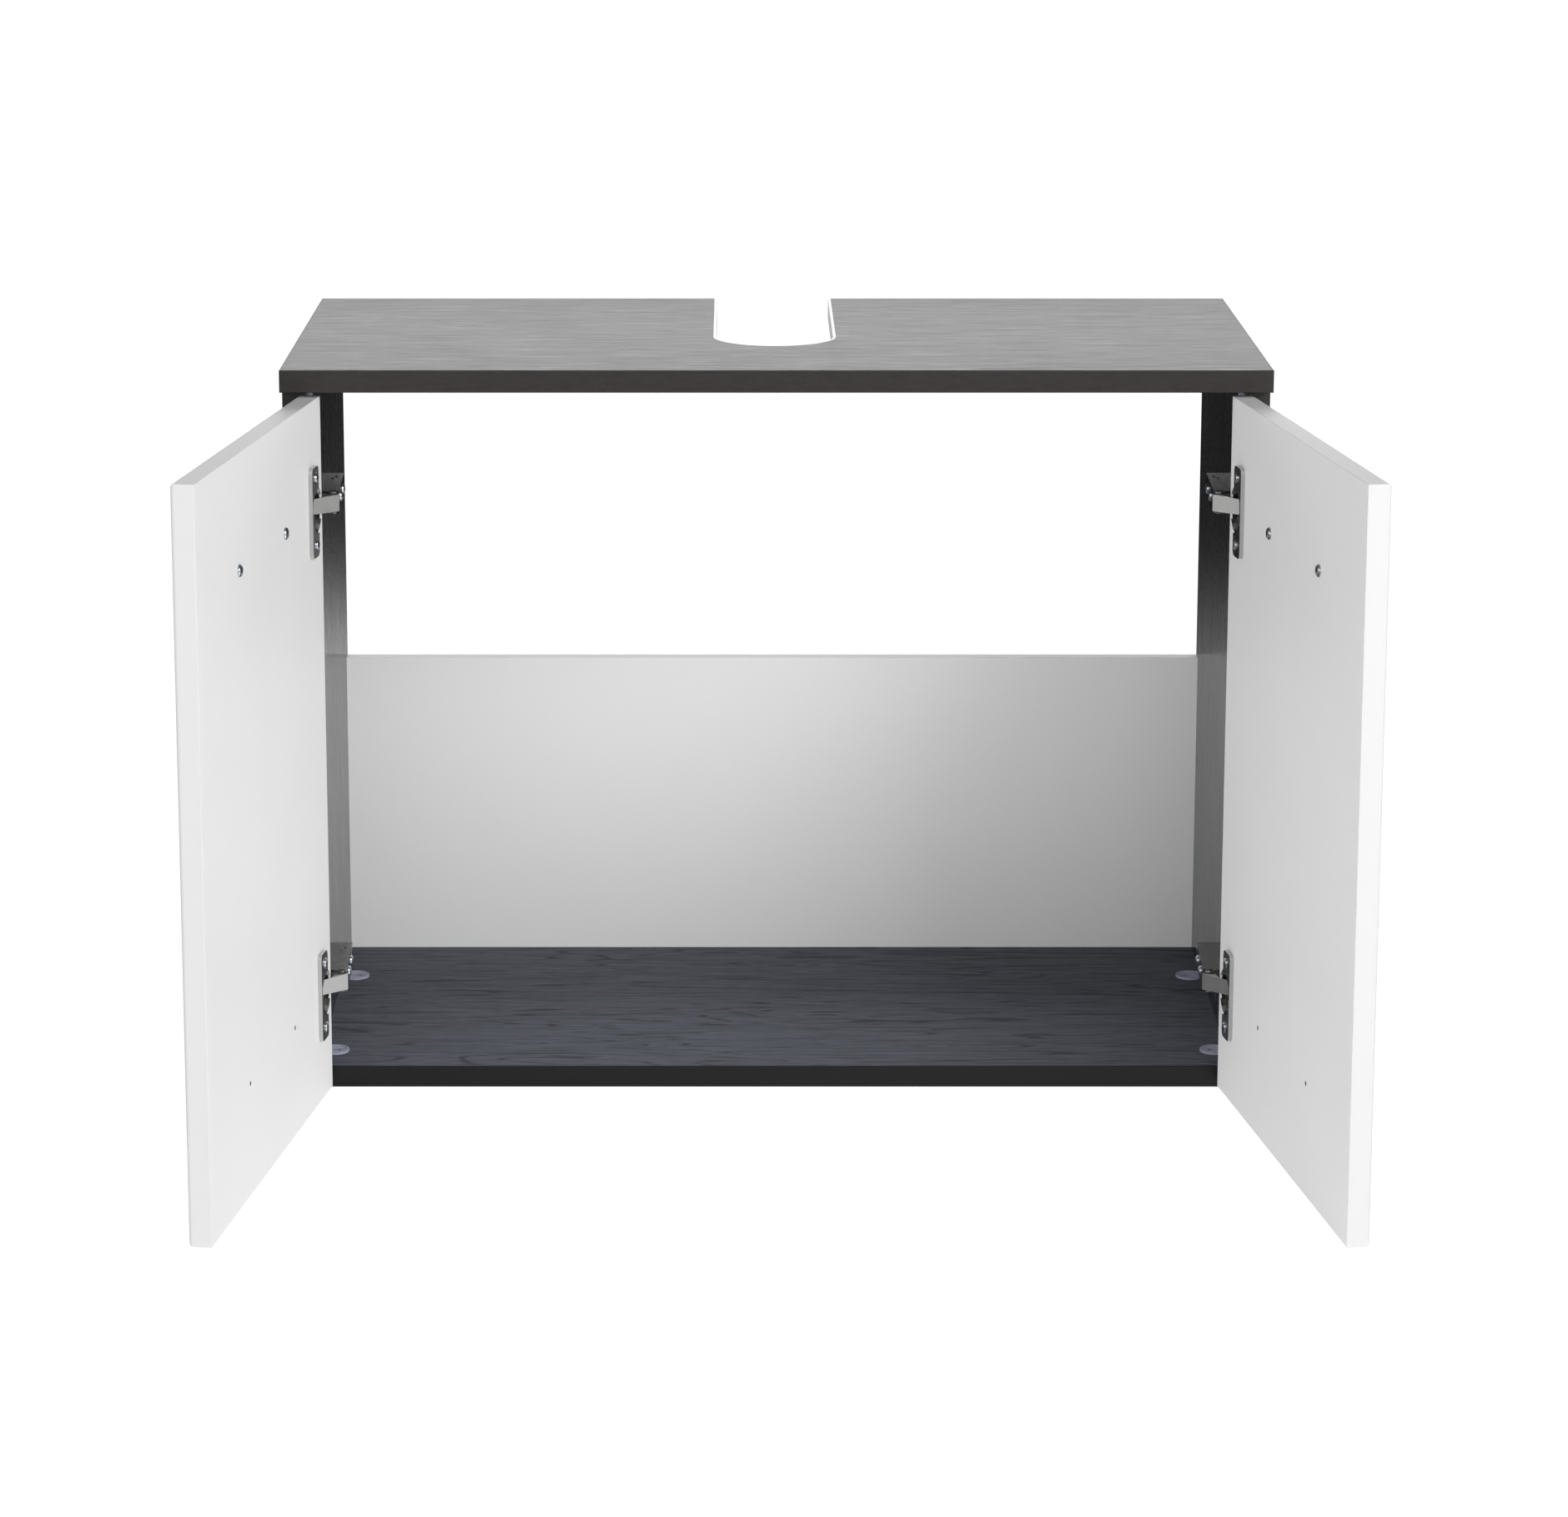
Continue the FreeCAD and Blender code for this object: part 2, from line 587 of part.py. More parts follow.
def carcass_nodes():
    floor_housings, floor_cams, floor_bolts = [both_sides(pieces) for pieces in zip(*floor_connectors())]
    top_housings, top_cams, top_bolts = [both_sides(pieces) for pieces in zip(*top_connectors())]
    dowels = {"floor_dowels": both_sides(floor_dowels()), "top_dowels": both_sides(top_dowels()),
              "back_panel_dowels": both_sides(back_dowels())}
    plate_fixings = [screw for z in hinge_heights for screw in plate_screws(z)]
    floor_bores = both_sides([housing_bore(place, Z_AXIS) for place in floor_housing_places()])
    side_bores = [housing_bore(place, X_AXIS) for place in top_housing_places()]
    side = without(side_panel(), side_bores + floor_bolts + top_bolts + dowels["floor_dowels"]
                   + dowels["top_dowels"] + dowels["back_panel_dowels"] + plate_fixings)
    side_band = front_band_piece(left, inner_left, 0, side_height)
    return {
        "top_panel": [without(top_panel(), top_bolts + dowels["top_dowels"])],
        "top_edge_bands": top_edge_bands(),
        "cutout_edging": [cutout_edging_strip()],
        "left_side_panel": [side],
        "left_side_edge_band": [side_band],
        "right_side_panel": [mirrored(side)],
        "right_side_edge_band": [mirrored(side_band)],
        "floor_panel": [without(floor_panel(), floor_bores + floor_bolts + dowels["floor_dowels"])],
        "floor_edge_band": [front_band_piece(inner_left, -inner_left, 0, floor_board)],
        "back_panel": [without(back_panel(), dowels["back_panel_dowels"])],
        "back_panel_edge_band": [back_panel_band()],
        "floor_connector_housings": floor_housings,
        "floor_connector_cams": floor_cams,
        "floor_connector_bolts": floor_bolts,
        "top_connector_housings": top_housings,
        "top_connector_cams": top_cams,
        "top_connector_bolts": top_bolts,
        **dowels,
    }


def left_door_nodes():
    """Everything that the left door carries, at its open place."""
    cups = [hinge_cup(z) for z in hinge_heights]
    screws = [screw for z in hinge_heights for screw in cup_screws(z)]
    pins = [cup_pin(z) for z in hinge_heights]
    fixings = handle_screws()
    cup_bores = [cup_body(z) for z in hinge_heights]
    closed = {
        "door_panel": [without(door_panel(), cup_bores + screws + fixings)],
        "handle": [without(handle(), fixings)],
        "handle_screws": fixings,
        "hinge_cups": [without(cup, screws + pins) for cup in cups],
        "cup_screws": screws,
        "cup_pins": pins,
    }
    return {name: [opened(shape) for shape in shapes] for name, shapes in closed.items()}


def left_hinge_nodes():
    """The hinge parts that stay on the carcass, and the links."""
    adjusters = [screw for z in hinge_heights for screw in arm_screws(z)]
    pins = [arm_pin(z) for z in hinge_heights]
    fixings = [screw for z in hinge_heights for screw in plate_screws(z)]
    return {
        "mounting_plates": [without(mounting_plate(z), fixings + adjusters) for z in hinge_heights],
        "plate_screws": fixings,
        "hinge_arms": [without(hinge_arm(z), adjusters + pins) for z in hinge_heights],
        "arm_screws": adjusters,
        "arm_pins": pins,
        "hinge_links": [hinge_link(z) for z in hinge_heights],
    }


def all_nodes():
    nodes = dict(carcass_nodes())
    for name, shapes in {**left_door_nodes(), **left_hinge_nodes()}.items():
        nodes["left_" + name] = shapes
        nodes["right_" + name] = [mirrored(shape) for shape in shapes]
    return nodes


def main():
    os.makedirs("parts", exist_ok=True)
    for name, shapes in all_nodes().items():
        solids = [solid for shape in shapes for solid in shape.Solids]
        whole = solids[0] if len(solids) == 1 else Part.makeCompound(solids)
        whole.exportStep(os.path.join("parts", name + ".step"))
        print(name, len(solids), "solids", round(sum(solid.Volume for solid in solids)), "mm3",
              "valid" if all(solid.isValid() for solid in solids) else "INVALID")
    cup_axis, arm_axis = hinge_axes()
    print("left cup pin axis", cup_axis, "left arm pin axis", arm_axis)


main()
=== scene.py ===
"""Looks for the sink base cabinet: finishes, pressed hinge parts, screws, connectors, studio stage and camera.

Everything is in metres in the cabinet's own frame: X to the right, Y to the back, Z up.
"""
import json
import math

import bmesh
import bpy
from bpy.props import FloatProperty, FloatVectorProperty, PointerProperty, StringProperty
from mathutils import Matrix, Vector


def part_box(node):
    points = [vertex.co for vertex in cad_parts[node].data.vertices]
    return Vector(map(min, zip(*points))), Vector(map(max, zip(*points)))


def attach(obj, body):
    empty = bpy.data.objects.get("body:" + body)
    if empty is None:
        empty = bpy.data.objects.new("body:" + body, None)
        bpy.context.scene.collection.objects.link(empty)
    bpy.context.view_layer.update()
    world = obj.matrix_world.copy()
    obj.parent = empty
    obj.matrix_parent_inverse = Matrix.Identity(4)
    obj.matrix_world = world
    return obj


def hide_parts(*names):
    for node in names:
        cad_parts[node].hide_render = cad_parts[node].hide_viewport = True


bl_info = {
    "name": "Sink Base Cabinet",
    "version": (1, 0, 0),
    "blender": (4, 5, 0),
    "location": "3D View > Sidebar > Cabinet",
    "description": "Finishes and small parts of a flat-pack sink base cabinet with two open doors",
    "category": "Object",
}

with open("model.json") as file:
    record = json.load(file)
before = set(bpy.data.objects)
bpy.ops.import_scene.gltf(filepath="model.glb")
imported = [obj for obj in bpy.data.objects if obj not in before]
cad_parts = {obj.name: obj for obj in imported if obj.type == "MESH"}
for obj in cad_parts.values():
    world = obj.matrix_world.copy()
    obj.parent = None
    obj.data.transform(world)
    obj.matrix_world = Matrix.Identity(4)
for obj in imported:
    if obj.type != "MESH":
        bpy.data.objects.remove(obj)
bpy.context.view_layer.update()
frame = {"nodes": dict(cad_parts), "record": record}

MM = 0.001
SIDES = {"left": 1, "right": -1}
BLACK = (0, 0, 0, 1)

# A connector's middle lies this far from the middle of its CAD cam, towards the board's end
CAM_OFFSET = 3.2 * MM

# Connector, in millimetres
CONNECTOR = {"Width": 21.4, "Rise": 1.5, "Rim": 1.3, "Rim Rise": 0.5, "Body Width": 19.9, "Body Depth": 12,
             "Inset": 9.45, "Screw Width": 8.6, "Screw Offset": 3.6, "Cross Length": 5.4, "Cross Width": 1.4,
             "Cross Depth": 2.4}

# Pan-head screws, in millimetres: width and height of the head, width and length of the shank
SCREWS = {"handle_screws": (8.6, 2.4, 4.0, 22.0), "cup_screws": (7.0, 1.6, 3.5, 14.0),
          "plate_screws": (8.0, 1.8, 5.0, 12.0), "arm_screws": (7.5, 2.4, 5.0, 8.0)}

# Softboxes: where each stands, what it aims at, its width and height
SOFTBOXES = {"key": ((2.0, -3.2, 2.4), (0, 0, 0.25), 1.3, 1.3), "side": ((2.9, -2.4, 2.4), (0, 0, 0.25), 1.3, 1.3),
             "fill": ((-2.2, -3.4, 1.2), (0, 0, 0.25), 1.6, 1.6), "top": ((0.0, 0.5, 0.76), (0, 0, 0.565), 1.6, 0.25)}

# What the finishes mirror to the front and to the back: (rise, brightness), where rise goes from 0, straight down, to
# 1, straight up. A bright strip makes the sheen of a board, a dark one beside it keeps the decor black.
MIRRORED_AHEAD = [(0.0, 0.36), (0.396, 0.36), (0.403, 0.005), (0.51, 0.005), (0.56, 1.0), (0.68, 1.0), (0.8, 0.12),
                  (1.0, 0.12)]
MIRRORED_BEHIND = [(0.0, 0.36), (0.391, 0.36), (0.4, 0.001), (0.54, 0.001), (0.551, 0.4), (0.578, 0.4),
                   (0.586, 0.001), (0.6, 0.001), (0.61, 0.6), (0.7, 0.6), (0.75, 0.12), (1.0, 0.12)]

# To the back, what lies further than this to a side is dark. The surround darkens to the right, and its lowest part
# brightens to the right and darkens to the left.
WIDE, WIDE_BRIGHTNESS = 0.17, (0.03, 0.03, 0.03, 1)
RIGHT_DARKENING = 0.8
LOW_RISE, LOW_LEAN, LEAST_LEAN = 0.41, 5.0, 0.2


# ---- sizes and colours a user would change
def srgb(name, description, default):
    """A colour as sRGB hex."""
    return StringProperty(name=name, description=description, default=default)


def number(name, description, default, subtype="NONE"):
    return FloatProperty(name=name, description=description, default=default, subtype=subtype)


def metres(name, description, default):
    """A length in metres, shown to a hundredth of a millimetre."""
    return FloatProperty(name=name, description=description, default=default, unit="LENGTH", precision=5)


class CabinetFinish(bpy.types.PropertyGroup):
    """Colours, and the real sizes of the grain in millimetres."""
    decor_dark: srgb("Decor dark", "Darkest grain of the wood decor", "2b2c2f")
    decor_light: srgb("Decor light", "Lightest grain of the wood decor", "4b4c50")
    # Painted light: the floor panel takes a lighter, bluish copy of the oak decor that the top and side panels have
    floor_dark: srgb("Floor dark", "Darkest grain of the floor panel's decor", "484b53")
    floor_light: srgb("Floor light", "Lightest grain of the floor panel's decor", "666a74")
    band: srgb("Edge band", "Plastic edge band", "2b2927")
    edging: srgb("Edging", "White plastic edging", "f3f3f1")
    back_white: srgb("Back panel", "White melamine of the back panel", "f2f2f2")
    inner_white: srgb("Doors inside", "White melamine on the doors' inner faces", "e6e6e6")
    # Painted shade: the doors' outer foil and edges take a greyer copy of the doors' white, which holds the lit edges
    # darker
    outer_white: srgb("Doors outside", "White foil on the doors' outer faces and edges", "c9c9c9")
    nickel: srgb("Nickel", "Bright nickel plating", "cbcbca")
    zinc: srgb("Zinc", "Zinc plating", "c3c6ca")
    connector: srgb("Connector", "Moulded connector plastic", "b0b1c6")
    chips: srgb("Chips", "Raw chipboard", "b29a78")
    streak: number("Streak width", "Width of a grain streak in millimetres", 1.6)
    streak_length: number("Streak length", "Length of a grain streak in millimetres", 70.0)


class CabinetFittings(bpy.types.PropertyGroup):
    """Places and sizes of the fittings."""
    open_angle: number("Open angle", "Turn of each door from closed", math.radians(98.3), "ANGLE")
    corner_x: metres("Corner in", "Inner hinge corner of the open door from the middle", 0.3224)
    corner_y: metres("Corner front", "Inner hinge corner of the open door along the depth", -0.1685)
    ease: metres("Pressed edge", "Rounding of the pressed steel's edges", 0.00035)
    sheet: metres("Cup sheet", "Thickness of the cup's wall", 0.001)
    cup_edge: metres("Cup edge", "Cup's rim from the door's hinge edge", 0.005)
    cup_width: metres("Cup width", "Diameter of the cup", 0.035)
    cup_depth: metres("Cup depth", "Depth of the cup in the door", 0.012)
    mouth_width: metres("Mouth", "Width of the cup's mouth", 0.0174)
    flange_start: metres("Flange start", "Flange from the door's hinge edge", 0.021)
    flange_length: metres("Flange length", "Length of the screw flange", 0.0647)
    flange_thickness: metres("Flange thickness", "Thickness of the screw flange", 0.003)
    flange_round: metres("Flange corner", "Rounding of the flange's corners", 0.0045)
    arm_width: metres("Arm width", "Width of the hinge arm", 0.016)
    link_width: metres("Link width", "Width of the link's web", 0.012)
    link_sheet: metres("Link sheet", "Thickness of the link's sheet", 0.0012)
    web_at_cup: metres("Web at cup", "Middle of the web in front of the cup pin", 0.0015)
    web_at_arm: metres("Web at arm", "Middle of the web in front of the arm pin", 0.0059)


class CabinetStage(bpy.types.PropertyGroup):
    """Camera and lights."""
    camera_at: FloatVectorProperty(name="Camera", description="Camera's place", default=(-0.0292, -3.4143, 1.0532),
                                   unit="LENGTH")
    camera_pitch: number("Pitch", "Camera's downward tilt", math.radians(11.985), "ANGLE")
    camera_lens: number("Lens", "Focal length in millimetres on a 36 mm sensor", 106.83)
    shift_x: number("Shift X", "Sideways lens shift", 0.0313)
    shift_y: number("Shift Y", "Vertical lens shift", -0.10)
    key: number("Key light", "Power of the softbox at the front right", 64.0, "POWER")
    side: number("Side light", "Power of the softbox further right", 32.0, "POWER")
    fill: number("Fill light", "Power of the softbox at the front left", 2.4, "POWER")
    top: number("Top light", "Power of the strip softbox close behind the top panel", 3.2, "POWER")
    sky: number("Surround", "Brightness of the surround that the finishes mirror", 2.15)
    backdrop: number("Backdrop", "Brightness of the plain backdrop that the camera sees", 0.97)
    paper: number("Paper glow", "Light coming through the studio paper", 0.86)


# ---- colour and node helpers
def linear(hex_value):
    """A colour written as sRGB hex, as the linear values that shaders take."""
    channels = [int(hex_value[i:i + 2], 16) / 255 for i in (0, 2, 4)]
    return tuple(c / 12.92 if c <= 0.04045 else ((c + 0.055) / 1.055) ** 2.4 for c in channels) + (1,)


def chosen(name):
    """A colour from the cabinet's finish properties."""
    return linear(getattr(bpy.context.scene.cabinet_finish, name))


def feed(tree, node, inputs):
    """Joins inputs of a node, by name or number, to outputs, or sets them to plain values; returns the node."""
    for key, value in inputs.items():
        if isinstance(value, bpy.types.NodeSocket):
            tree.links.new(value, node.inputs[key])
        else:
            node.inputs[key].default_value = value
    return node


def add_node(tree, kind, inputs=None, **attributes):
    """Adds a node with these attributes and feeds its inputs."""
    node = tree.nodes.new(kind)
    for key, value in attributes.items():
        setattr(node, key, value)
    return feed(tree, node, inputs or {})


def ramp(tree, factor, stops):
    """A colour ramp with these (place, grey or colour) stops."""
    node = add_node(tree, "ShaderNodeValToRGB", {0: factor})
    elements = node.color_ramp.elements
    while len(elements) < len(stops):
        elements.new(0.5)
    for element, (place, colour) in zip(elements, stops):
        element.position = place
        element.color = colour if isinstance(colour, tuple) else (colour, colour, colour, 1)
    return node.outputs[0]


def mix(tree, factor, a, b, blend="MIX"):
    """Mixes two colours; each, and the factor, is an output or a plain value."""
    return add_node(tree, "ShaderNodeMix", {0: factor, 6: a, 7: b}, data_type="RGBA", blend_type=blend).outputs[2]


def maths(tree, operation, a, b=0.0, clamp=False):
    return add_node(tree, "ShaderNodeMath", {0: a, 1: b}, operation=operation, use_clamp=clamp).outputs[0]


def times(tree, a, b):
    return maths(tree, "MULTIPLY", a, b)


def spread(tree, pattern, low, high):
    """From one grey or colour to the other over the middle of a noise pattern."""
    return ramp(tree, pattern, [(0.3, low), (0.7, high)])


def new_material(name, **values):
    """A material with one Principled shader that has these values; returns the material, its tree and its shader."""
    material = bpy.data.materials.new(name)
    material.use_nodes = True
    tree = material.node_tree
    shader = tree.nodes["Principled BSDF"]
    for key, value in values.items():
        shader.inputs[key.replace("_", " ").title().replace("Ior", "IOR")].default_value = value
    return material, tree, shader


def object_place(tree):
    return add_node(tree, "ShaderNodeTexCoord").outputs["Object"]


def noise(tree, width_mm, length_mm, detail=2.0, roughness=0.5, turn=(0, 0, 0), distortion=0.0):
    """Noise with cells this wide across the grain and this long along it. The grain runs along X, or is turned."""
    across, along = 1 / (width_mm * MM), 1 / (length_mm * MM)
    place = add_node(tree, "ShaderNodeMapping", {0: object_place(tree), "Rotation": turn}).outputs[0]
    place = add_node(tree, "ShaderNodeMapping", {0: place, "Scale": (along, across, across)}).outputs[0]
    return add_node(tree, "ShaderNodeTexNoise", {"Vector": place, "Scale": 1.0, "Detail": detail,
                                                 "Roughness": roughness, "Distortion": distortion}).outputs[0]


def bump(tree, shader, height, depth_mm, strength):
    relief = {"Height": height, "Strength": strength, "Distance": depth_mm * MM}
    feed(tree, shader, {"Normal": add_node(tree, "ShaderNodeBump", relief).outputs[0]})


def facing(tree, direction):
    """One where the surface faces this direction of the object, to about 25 degrees, else nought."""
    normal = add_node(tree, "ShaderNodeTexCoord").outputs["Normal"]
    turned = add_node(tree, "ShaderNodeVectorMath", {0: normal, 1: direction}, operation="DOT_PRODUCT")
    return maths(tree, "GREATER_THAN", turned.outputs["Value"], 0.9)


# ---- finishes
def wood_decor(name, turn, raw_directions, shade=1.0, gloss=(0.60, 0.36), specular=0.5, floor=False):
    """Melamine-faced chipboard with an embossed dark oak decor. The paper is matt and dark, the embossing breaks up
    the sheen into fine streaks along the grain. Edges without a band show the chips."""
    finish = bpy.context.scene.cabinet_finish
    material, tree, shader = new_material(name, specular_ior_level=specular)
    # Painted light: with floor, the decor takes the floor panel's lighter colours
    dark, light = ("floor_dark", "floor_light") if floor else ("decor_dark", "decor_light")
    ring_count, ring_strength, pore_strength = 60.0, 0.55, 0.6
    streaks = noise(tree, finish.streak, finish.streak_length, 3.0, 0.6, turn)
    fine = noise(tree, 0.7, 16.0, 2.0, 0.6, turn)
    figure = noise(tree, 26.0, 420.0, 2.0, 0.5, turn, distortion=0.6)
    rings = maths(tree, "SINE", times(tree, figure, ring_count))
    pores = ramp(tree, noise(tree, 0.9, 22.0, 1.0, 0.5, turn), [(0.62, 0.0), (0.70, 1.0)])
    lines = ramp(tree, rings, [(0.80, 0.0), (1.0, 1.0)])
    tone = maths(tree, "ADD", times(tree, streaks, 0.62), times(tree, fine, 0.38))
    decor = ramp(tree, tone, [(0.34, chosen(dark)), (0.66, chosen(light))])
    decor = mix(tree, times(tree, lines, ring_strength), decor, linear("1d1d1f"))
    decor = mix(tree, times(tree, pores, pore_strength), decor, linear("19191b"))
    # Painted shade: 1 - shade darkens the decor towards black; the side panels' copy is darkened this way
    decor = mix(tree, 1.0 - shade, decor, BLACK)
    chips, chip_height = raw_chips(tree)
    raw = 0.0
    for direction in raw_directions:
        raw = maths(tree, "ADD", raw, facing(tree, direction), clamp=True)
    shine = spread(tree, tone, *gloss)
    feed(tree, shader, {"Base Color": mix(tree, raw, decor, chips),
                        "Roughness": mix(tree, raw, shine, (0.9, 0.9, 0.9, 1))})
    relief = maths(tree, "SUBTRACT", tone, times(tree, pores, 0.5))
    bump(tree, shader, mix(tree, raw, relief, chip_height), 0.12, 0.55)
    return material


def raw_chips(tree):
    """Pressed wood chips of 2 to 4 mm: their colour, and their height."""
    along, across = 1 / (4 * MM), 1 / (2.2 * MM)
    place = add_node(tree, "ShaderNodeMapping", {0: object_place(tree), "Scale": (along, across, across)}).outputs[0]
    cells = add_node(tree, "ShaderNodeTexVoronoi", {"Vector": place, "Scale": 1.0, "Randomness": 1.0})
    grey = add_node(tree, "ShaderNodeSeparateColor", {0: cells.outputs["Color"]}).outputs[0]
    return ramp(tree, grey, [(0.0, linear("80674a")), (0.5, chosen("chips")), (1.0, linear("cdb894"))]), grey


def edge_band(name, shade=0.85):
    """Extruded edge band in the decor's colour: satin, with faint marks of the trimming."""
    material, tree, shader = new_material(name, roughness=0.5, specular_ior_level=0.35)
    mottle = noise(tree, 3.0, 9.0, 3.0, 0.6)
    colour = mix(tree, spread(tree, mottle, 0.0, 1.0), linear("232120"), chosen("band"))
    # 1 - shade darkens the band towards black. On the floor's band, at 0.1, this is painted shade
    feed(tree, shader, {"Base Color": mix(tree, 1.0 - shade, colour, BLACK)})
    bump(tree, shader, mottle, 0.05, 0.25)
    return material


def speckled(name, cell_mm, dark, light, depth_mm, strength, **values):
    """A finish that varies between two colours in small round cells, which are its relief too."""
    material, tree, shader = new_material(name, **values)
    cells = noise(tree, cell_mm, cell_mm)
    feed(tree, shader, {"Base Color": mix(tree, cells, dark, light)})
    bump(tree, shader, cells, depth_mm, strength)
    return material


def white_plastic(name):
    """Smooth white edge band with faint waves of the extrusion."""
    return speckled(name, 12.0, linear("eeeeec"), chosen("edging"), 0.02, 0.3, roughness=0.32)


def white_melamine(name):
    """White melamine face: satin, with a very fine pearl embossing that softens reflections."""
    material, tree, shader = new_material(name, roughness=0.42)
    pearl, cloud = noise(tree, 1.2, 1.2), noise(tree, 90.0, 90.0)
    feed(tree, shader, {"Base Color": mix(tree, cloud, linear("efefef"), chosen("back_white"))})
    bump(tree, shader, pearl, 0.03, 0.2)
    return material


def door_foil(name, inner_direction, board):
    """Fibreboard door: gloss white foil over the outer face and the edges, satin white melamine inside. The board, its
    middle, turn and half size, is given because holes in it show the brown fibres."""
    material, tree, shader = new_material(name)
    satin, gloss, specular, edge_share = 0.45, 0.08, 0.5, 0.5
    inner, outer = facing(tree, inner_direction), facing(tree, tuple(-each for each in inner_direction))
    peel, pearl, cloud = noise(tree, 7.0, 7.0), noise(tree, 1.2, 1.2), noise(tree, 90.0, 90.0)
    inner_white = mix(tree, cloud, linear("e2e2e2"), chosen("inner_white"))
    # Painted shade: the outer foil and the edges are a greyer copy of the white
    white = mix(tree, inner, chosen("outer_white"), inner_white)
    # Brown starts this deep below the faces: the rounded edges of the outer face stay white, the holes don't
    centre, turn, half = board
    margins, inwards = (1.0 * MM, 0.6 * MM, 1.0 * MM), 0.4 * MM
    centre = tuple(middle + inwards * way for middle, way in zip(centre, inner_direction))
    place = add_node(tree, "ShaderNodeMapping", {0: object_place(tree), "Location": centre, "Rotation": (0, 0, turn)},
                     vector_type="TEXTURE").outputs[0]
    away = add_node(tree, "ShaderNodeVectorMath", {0: place}, operation="ABSOLUTE").outputs[0]
    core = [side - margin for side, margin in zip(half, margins)]
    deep = add_node(tree, "ShaderNodeVectorMath", {0: core, 1: away}, operation="SUBTRACT").outputs[0]
    deep = add_node(tree, "ShaderNodeSeparateXYZ", {0: deep}).outputs
    fibres = maths(tree, "GREATER_THAN", maths(tree, "MINIMUM", maths(tree, "MINIMUM", deep[0], deep[1]), deep[2]), 0.0)
    smooth = maths(tree, "MAXIMUM", maths(tree, "MAXIMUM", inner, outer), edge_share)
    feed(tree, shader, {
        "Base Color": mix(tree, fibres, white, linear("221e1a")),
        "Roughness": maths(tree, "SUBTRACT", satin, times(tree, outer, satin - gloss)),
        "Specular IOR Level": times(tree, smooth, specular)})
    bump(tree, shader, mix(tree, inner, peel, pearl), 0.03, 0.12)
    return material


def bright_nickel(name, shade=1.0, gloss=(0.14, 0.26)):
    """Pressed steel, bright nickel plated: a warm mirror, with faint drawing lines and slight haze."""
    material, tree, shader = new_material(name, metallic=1.0)
    haze = noise(tree, 5.0, 5.0, 3.0, 0.6)
    drawn = noise(tree, 0.25, 6.0, turn=(0, math.pi / 2, 0))
    colour = mix(tree, haze, linear("bdbdbc"), chosen("nickel"))
    # Painted shade: 1 - shade darkens the plate towards black; the arms' copy is darkened this way
    feed(tree, shader, {"Base Color": mix(tree, 1.0 - shade, colour, BLACK),
                        "Roughness": spread(tree, haze, *gloss)})
    bump(tree, shader, drawn, 0.01, 0.25)
    return material


def zinc_plate(name):
    """Turned steel, zinc plated: cool and slightly grey, with turning marks."""
    material, tree, shader = new_material(name, metallic=1.0)
    haze = noise(tree, 2.0, 2.0, 3.0, 0.6)
    feed(tree, shader, {"Base Color": mix(tree, haze, linear("a9adb2"), chosen("zinc")),
                        "Roughness": spread(tree, haze, 0.22, 0.38)})
    bump(tree, shader, haze, 0.01, 0.3)
    return material


def satin_steel(name, turn):
    """Bar steel brushed along its length: long fine lines spread the highlight across the bar."""
    material, tree, shader = new_material(name, metallic=1.0, anisotropic=0.4)
    lines = noise(tree, 0.12, 14.0, 3.0, 0.6, turn)
    feed(tree, shader, {"Base Color": spread(tree, lines, linear("8f9092"), linear("b3b4b6")),
                        "Roughness": spread(tree, lines, 0.38, 0.26)})
    bump(tree, shader, lines, 0.01, 0.4)
    return material


def moulded_plastic(name):
    """Injection-moulded blue-grey plastic: even, satin, with a fine eroded grain."""
    return speckled(name, 0.5, linear("a3a4ba"), chosen("connector"), 0.03, 0.3, roughness=0.42)


def cast_zinc(name):
    """Die-cast zinc, tumbled: light blue-grey and dull."""
    return speckled(name, 0.6, linear("989bab"), linear("b0b3c2"), 0.03, 0.4, metallic=0.6, roughness=0.45)


def beech(name):
    """Fluted beech peg: pinkish tan with short dark flecks."""
    material, tree, shader = new_material(name, roughness=0.7)
    flecks = noise(tree, 0.5, 4.0)
    feed(tree, shader, {"Base Color": spread(tree, flecks, linear("b08a63"), linear("d2b08a"))})
    bump(tree, shader, flecks, 0.05, 0.4)
    return material


def dress(names, material):
    """Gives CAD nodes or pieces this material."""
    for name in names:
        thing = frame["nodes"].get(name) or bpy.data.objects[name]
        if len(thing.material_slots):
            for slot in thing.material_slots:
                slot.material = material
        else:
            thing.data.materials.append(material)


# ---- mesh helpers
def new_object(name, data):
    """An object in the scene with this data."""
    thing = bpy.data.objects.new(name, data)
    bpy.context.scene.collection.objects.link(thing)
    return thing


def door_matrix(side):
    """From the door's own directions (from the hinge edge, into the board from its inner face, up) to the open door."""
    fittings = bpy.context.scene.cabinet_fittings
    sign, angle = SIDES[side], fittings.open_angle
    along = Vector((sign * math.cos(angle), -math.sin(angle), 0))
    into = Vector((-sign * math.sin(angle), -math.cos(angle), 0))
    matrix = Matrix((along, into, Vector((0, 0, 1)))).transposed().to_4x4()
    matrix.translation = Vector((-sign * fittings.corner_x, fittings.corner_y, 0))
    return matrix


def into_board(side):
    """The direction from the open door's inner face to its outer one."""
    return door_matrix(side).to_3x3() @ Vector((0, 1, 0))


def clean_copy(node, name):
    """A copy of a CAD node with its doubles merged and flat faces joined."""
    mesh = frame["nodes"][node].data.copy()
    mesh.name = name
    mesh.materials.clear()
    tidy_mesh(mesh)
    return new_object(name, mesh)


def board_of(node, matrix):
    """A turned board's middle, turn about Z and half size, from the points of its node."""
    back = matrix.inverted()
    points = [back @ vertex.co for vertex in frame["nodes"][node].data.vertices]
    low, high = (Vector([pick(point[i] for point in points) for i in range(3)]) for pick in (min, max))
    along = matrix.to_3x3() @ Vector((1, 0, 0))
    return tuple(matrix @ ((low + high) / 2)), math.atan2(along.y, along.x), tuple((high - low) / 2)


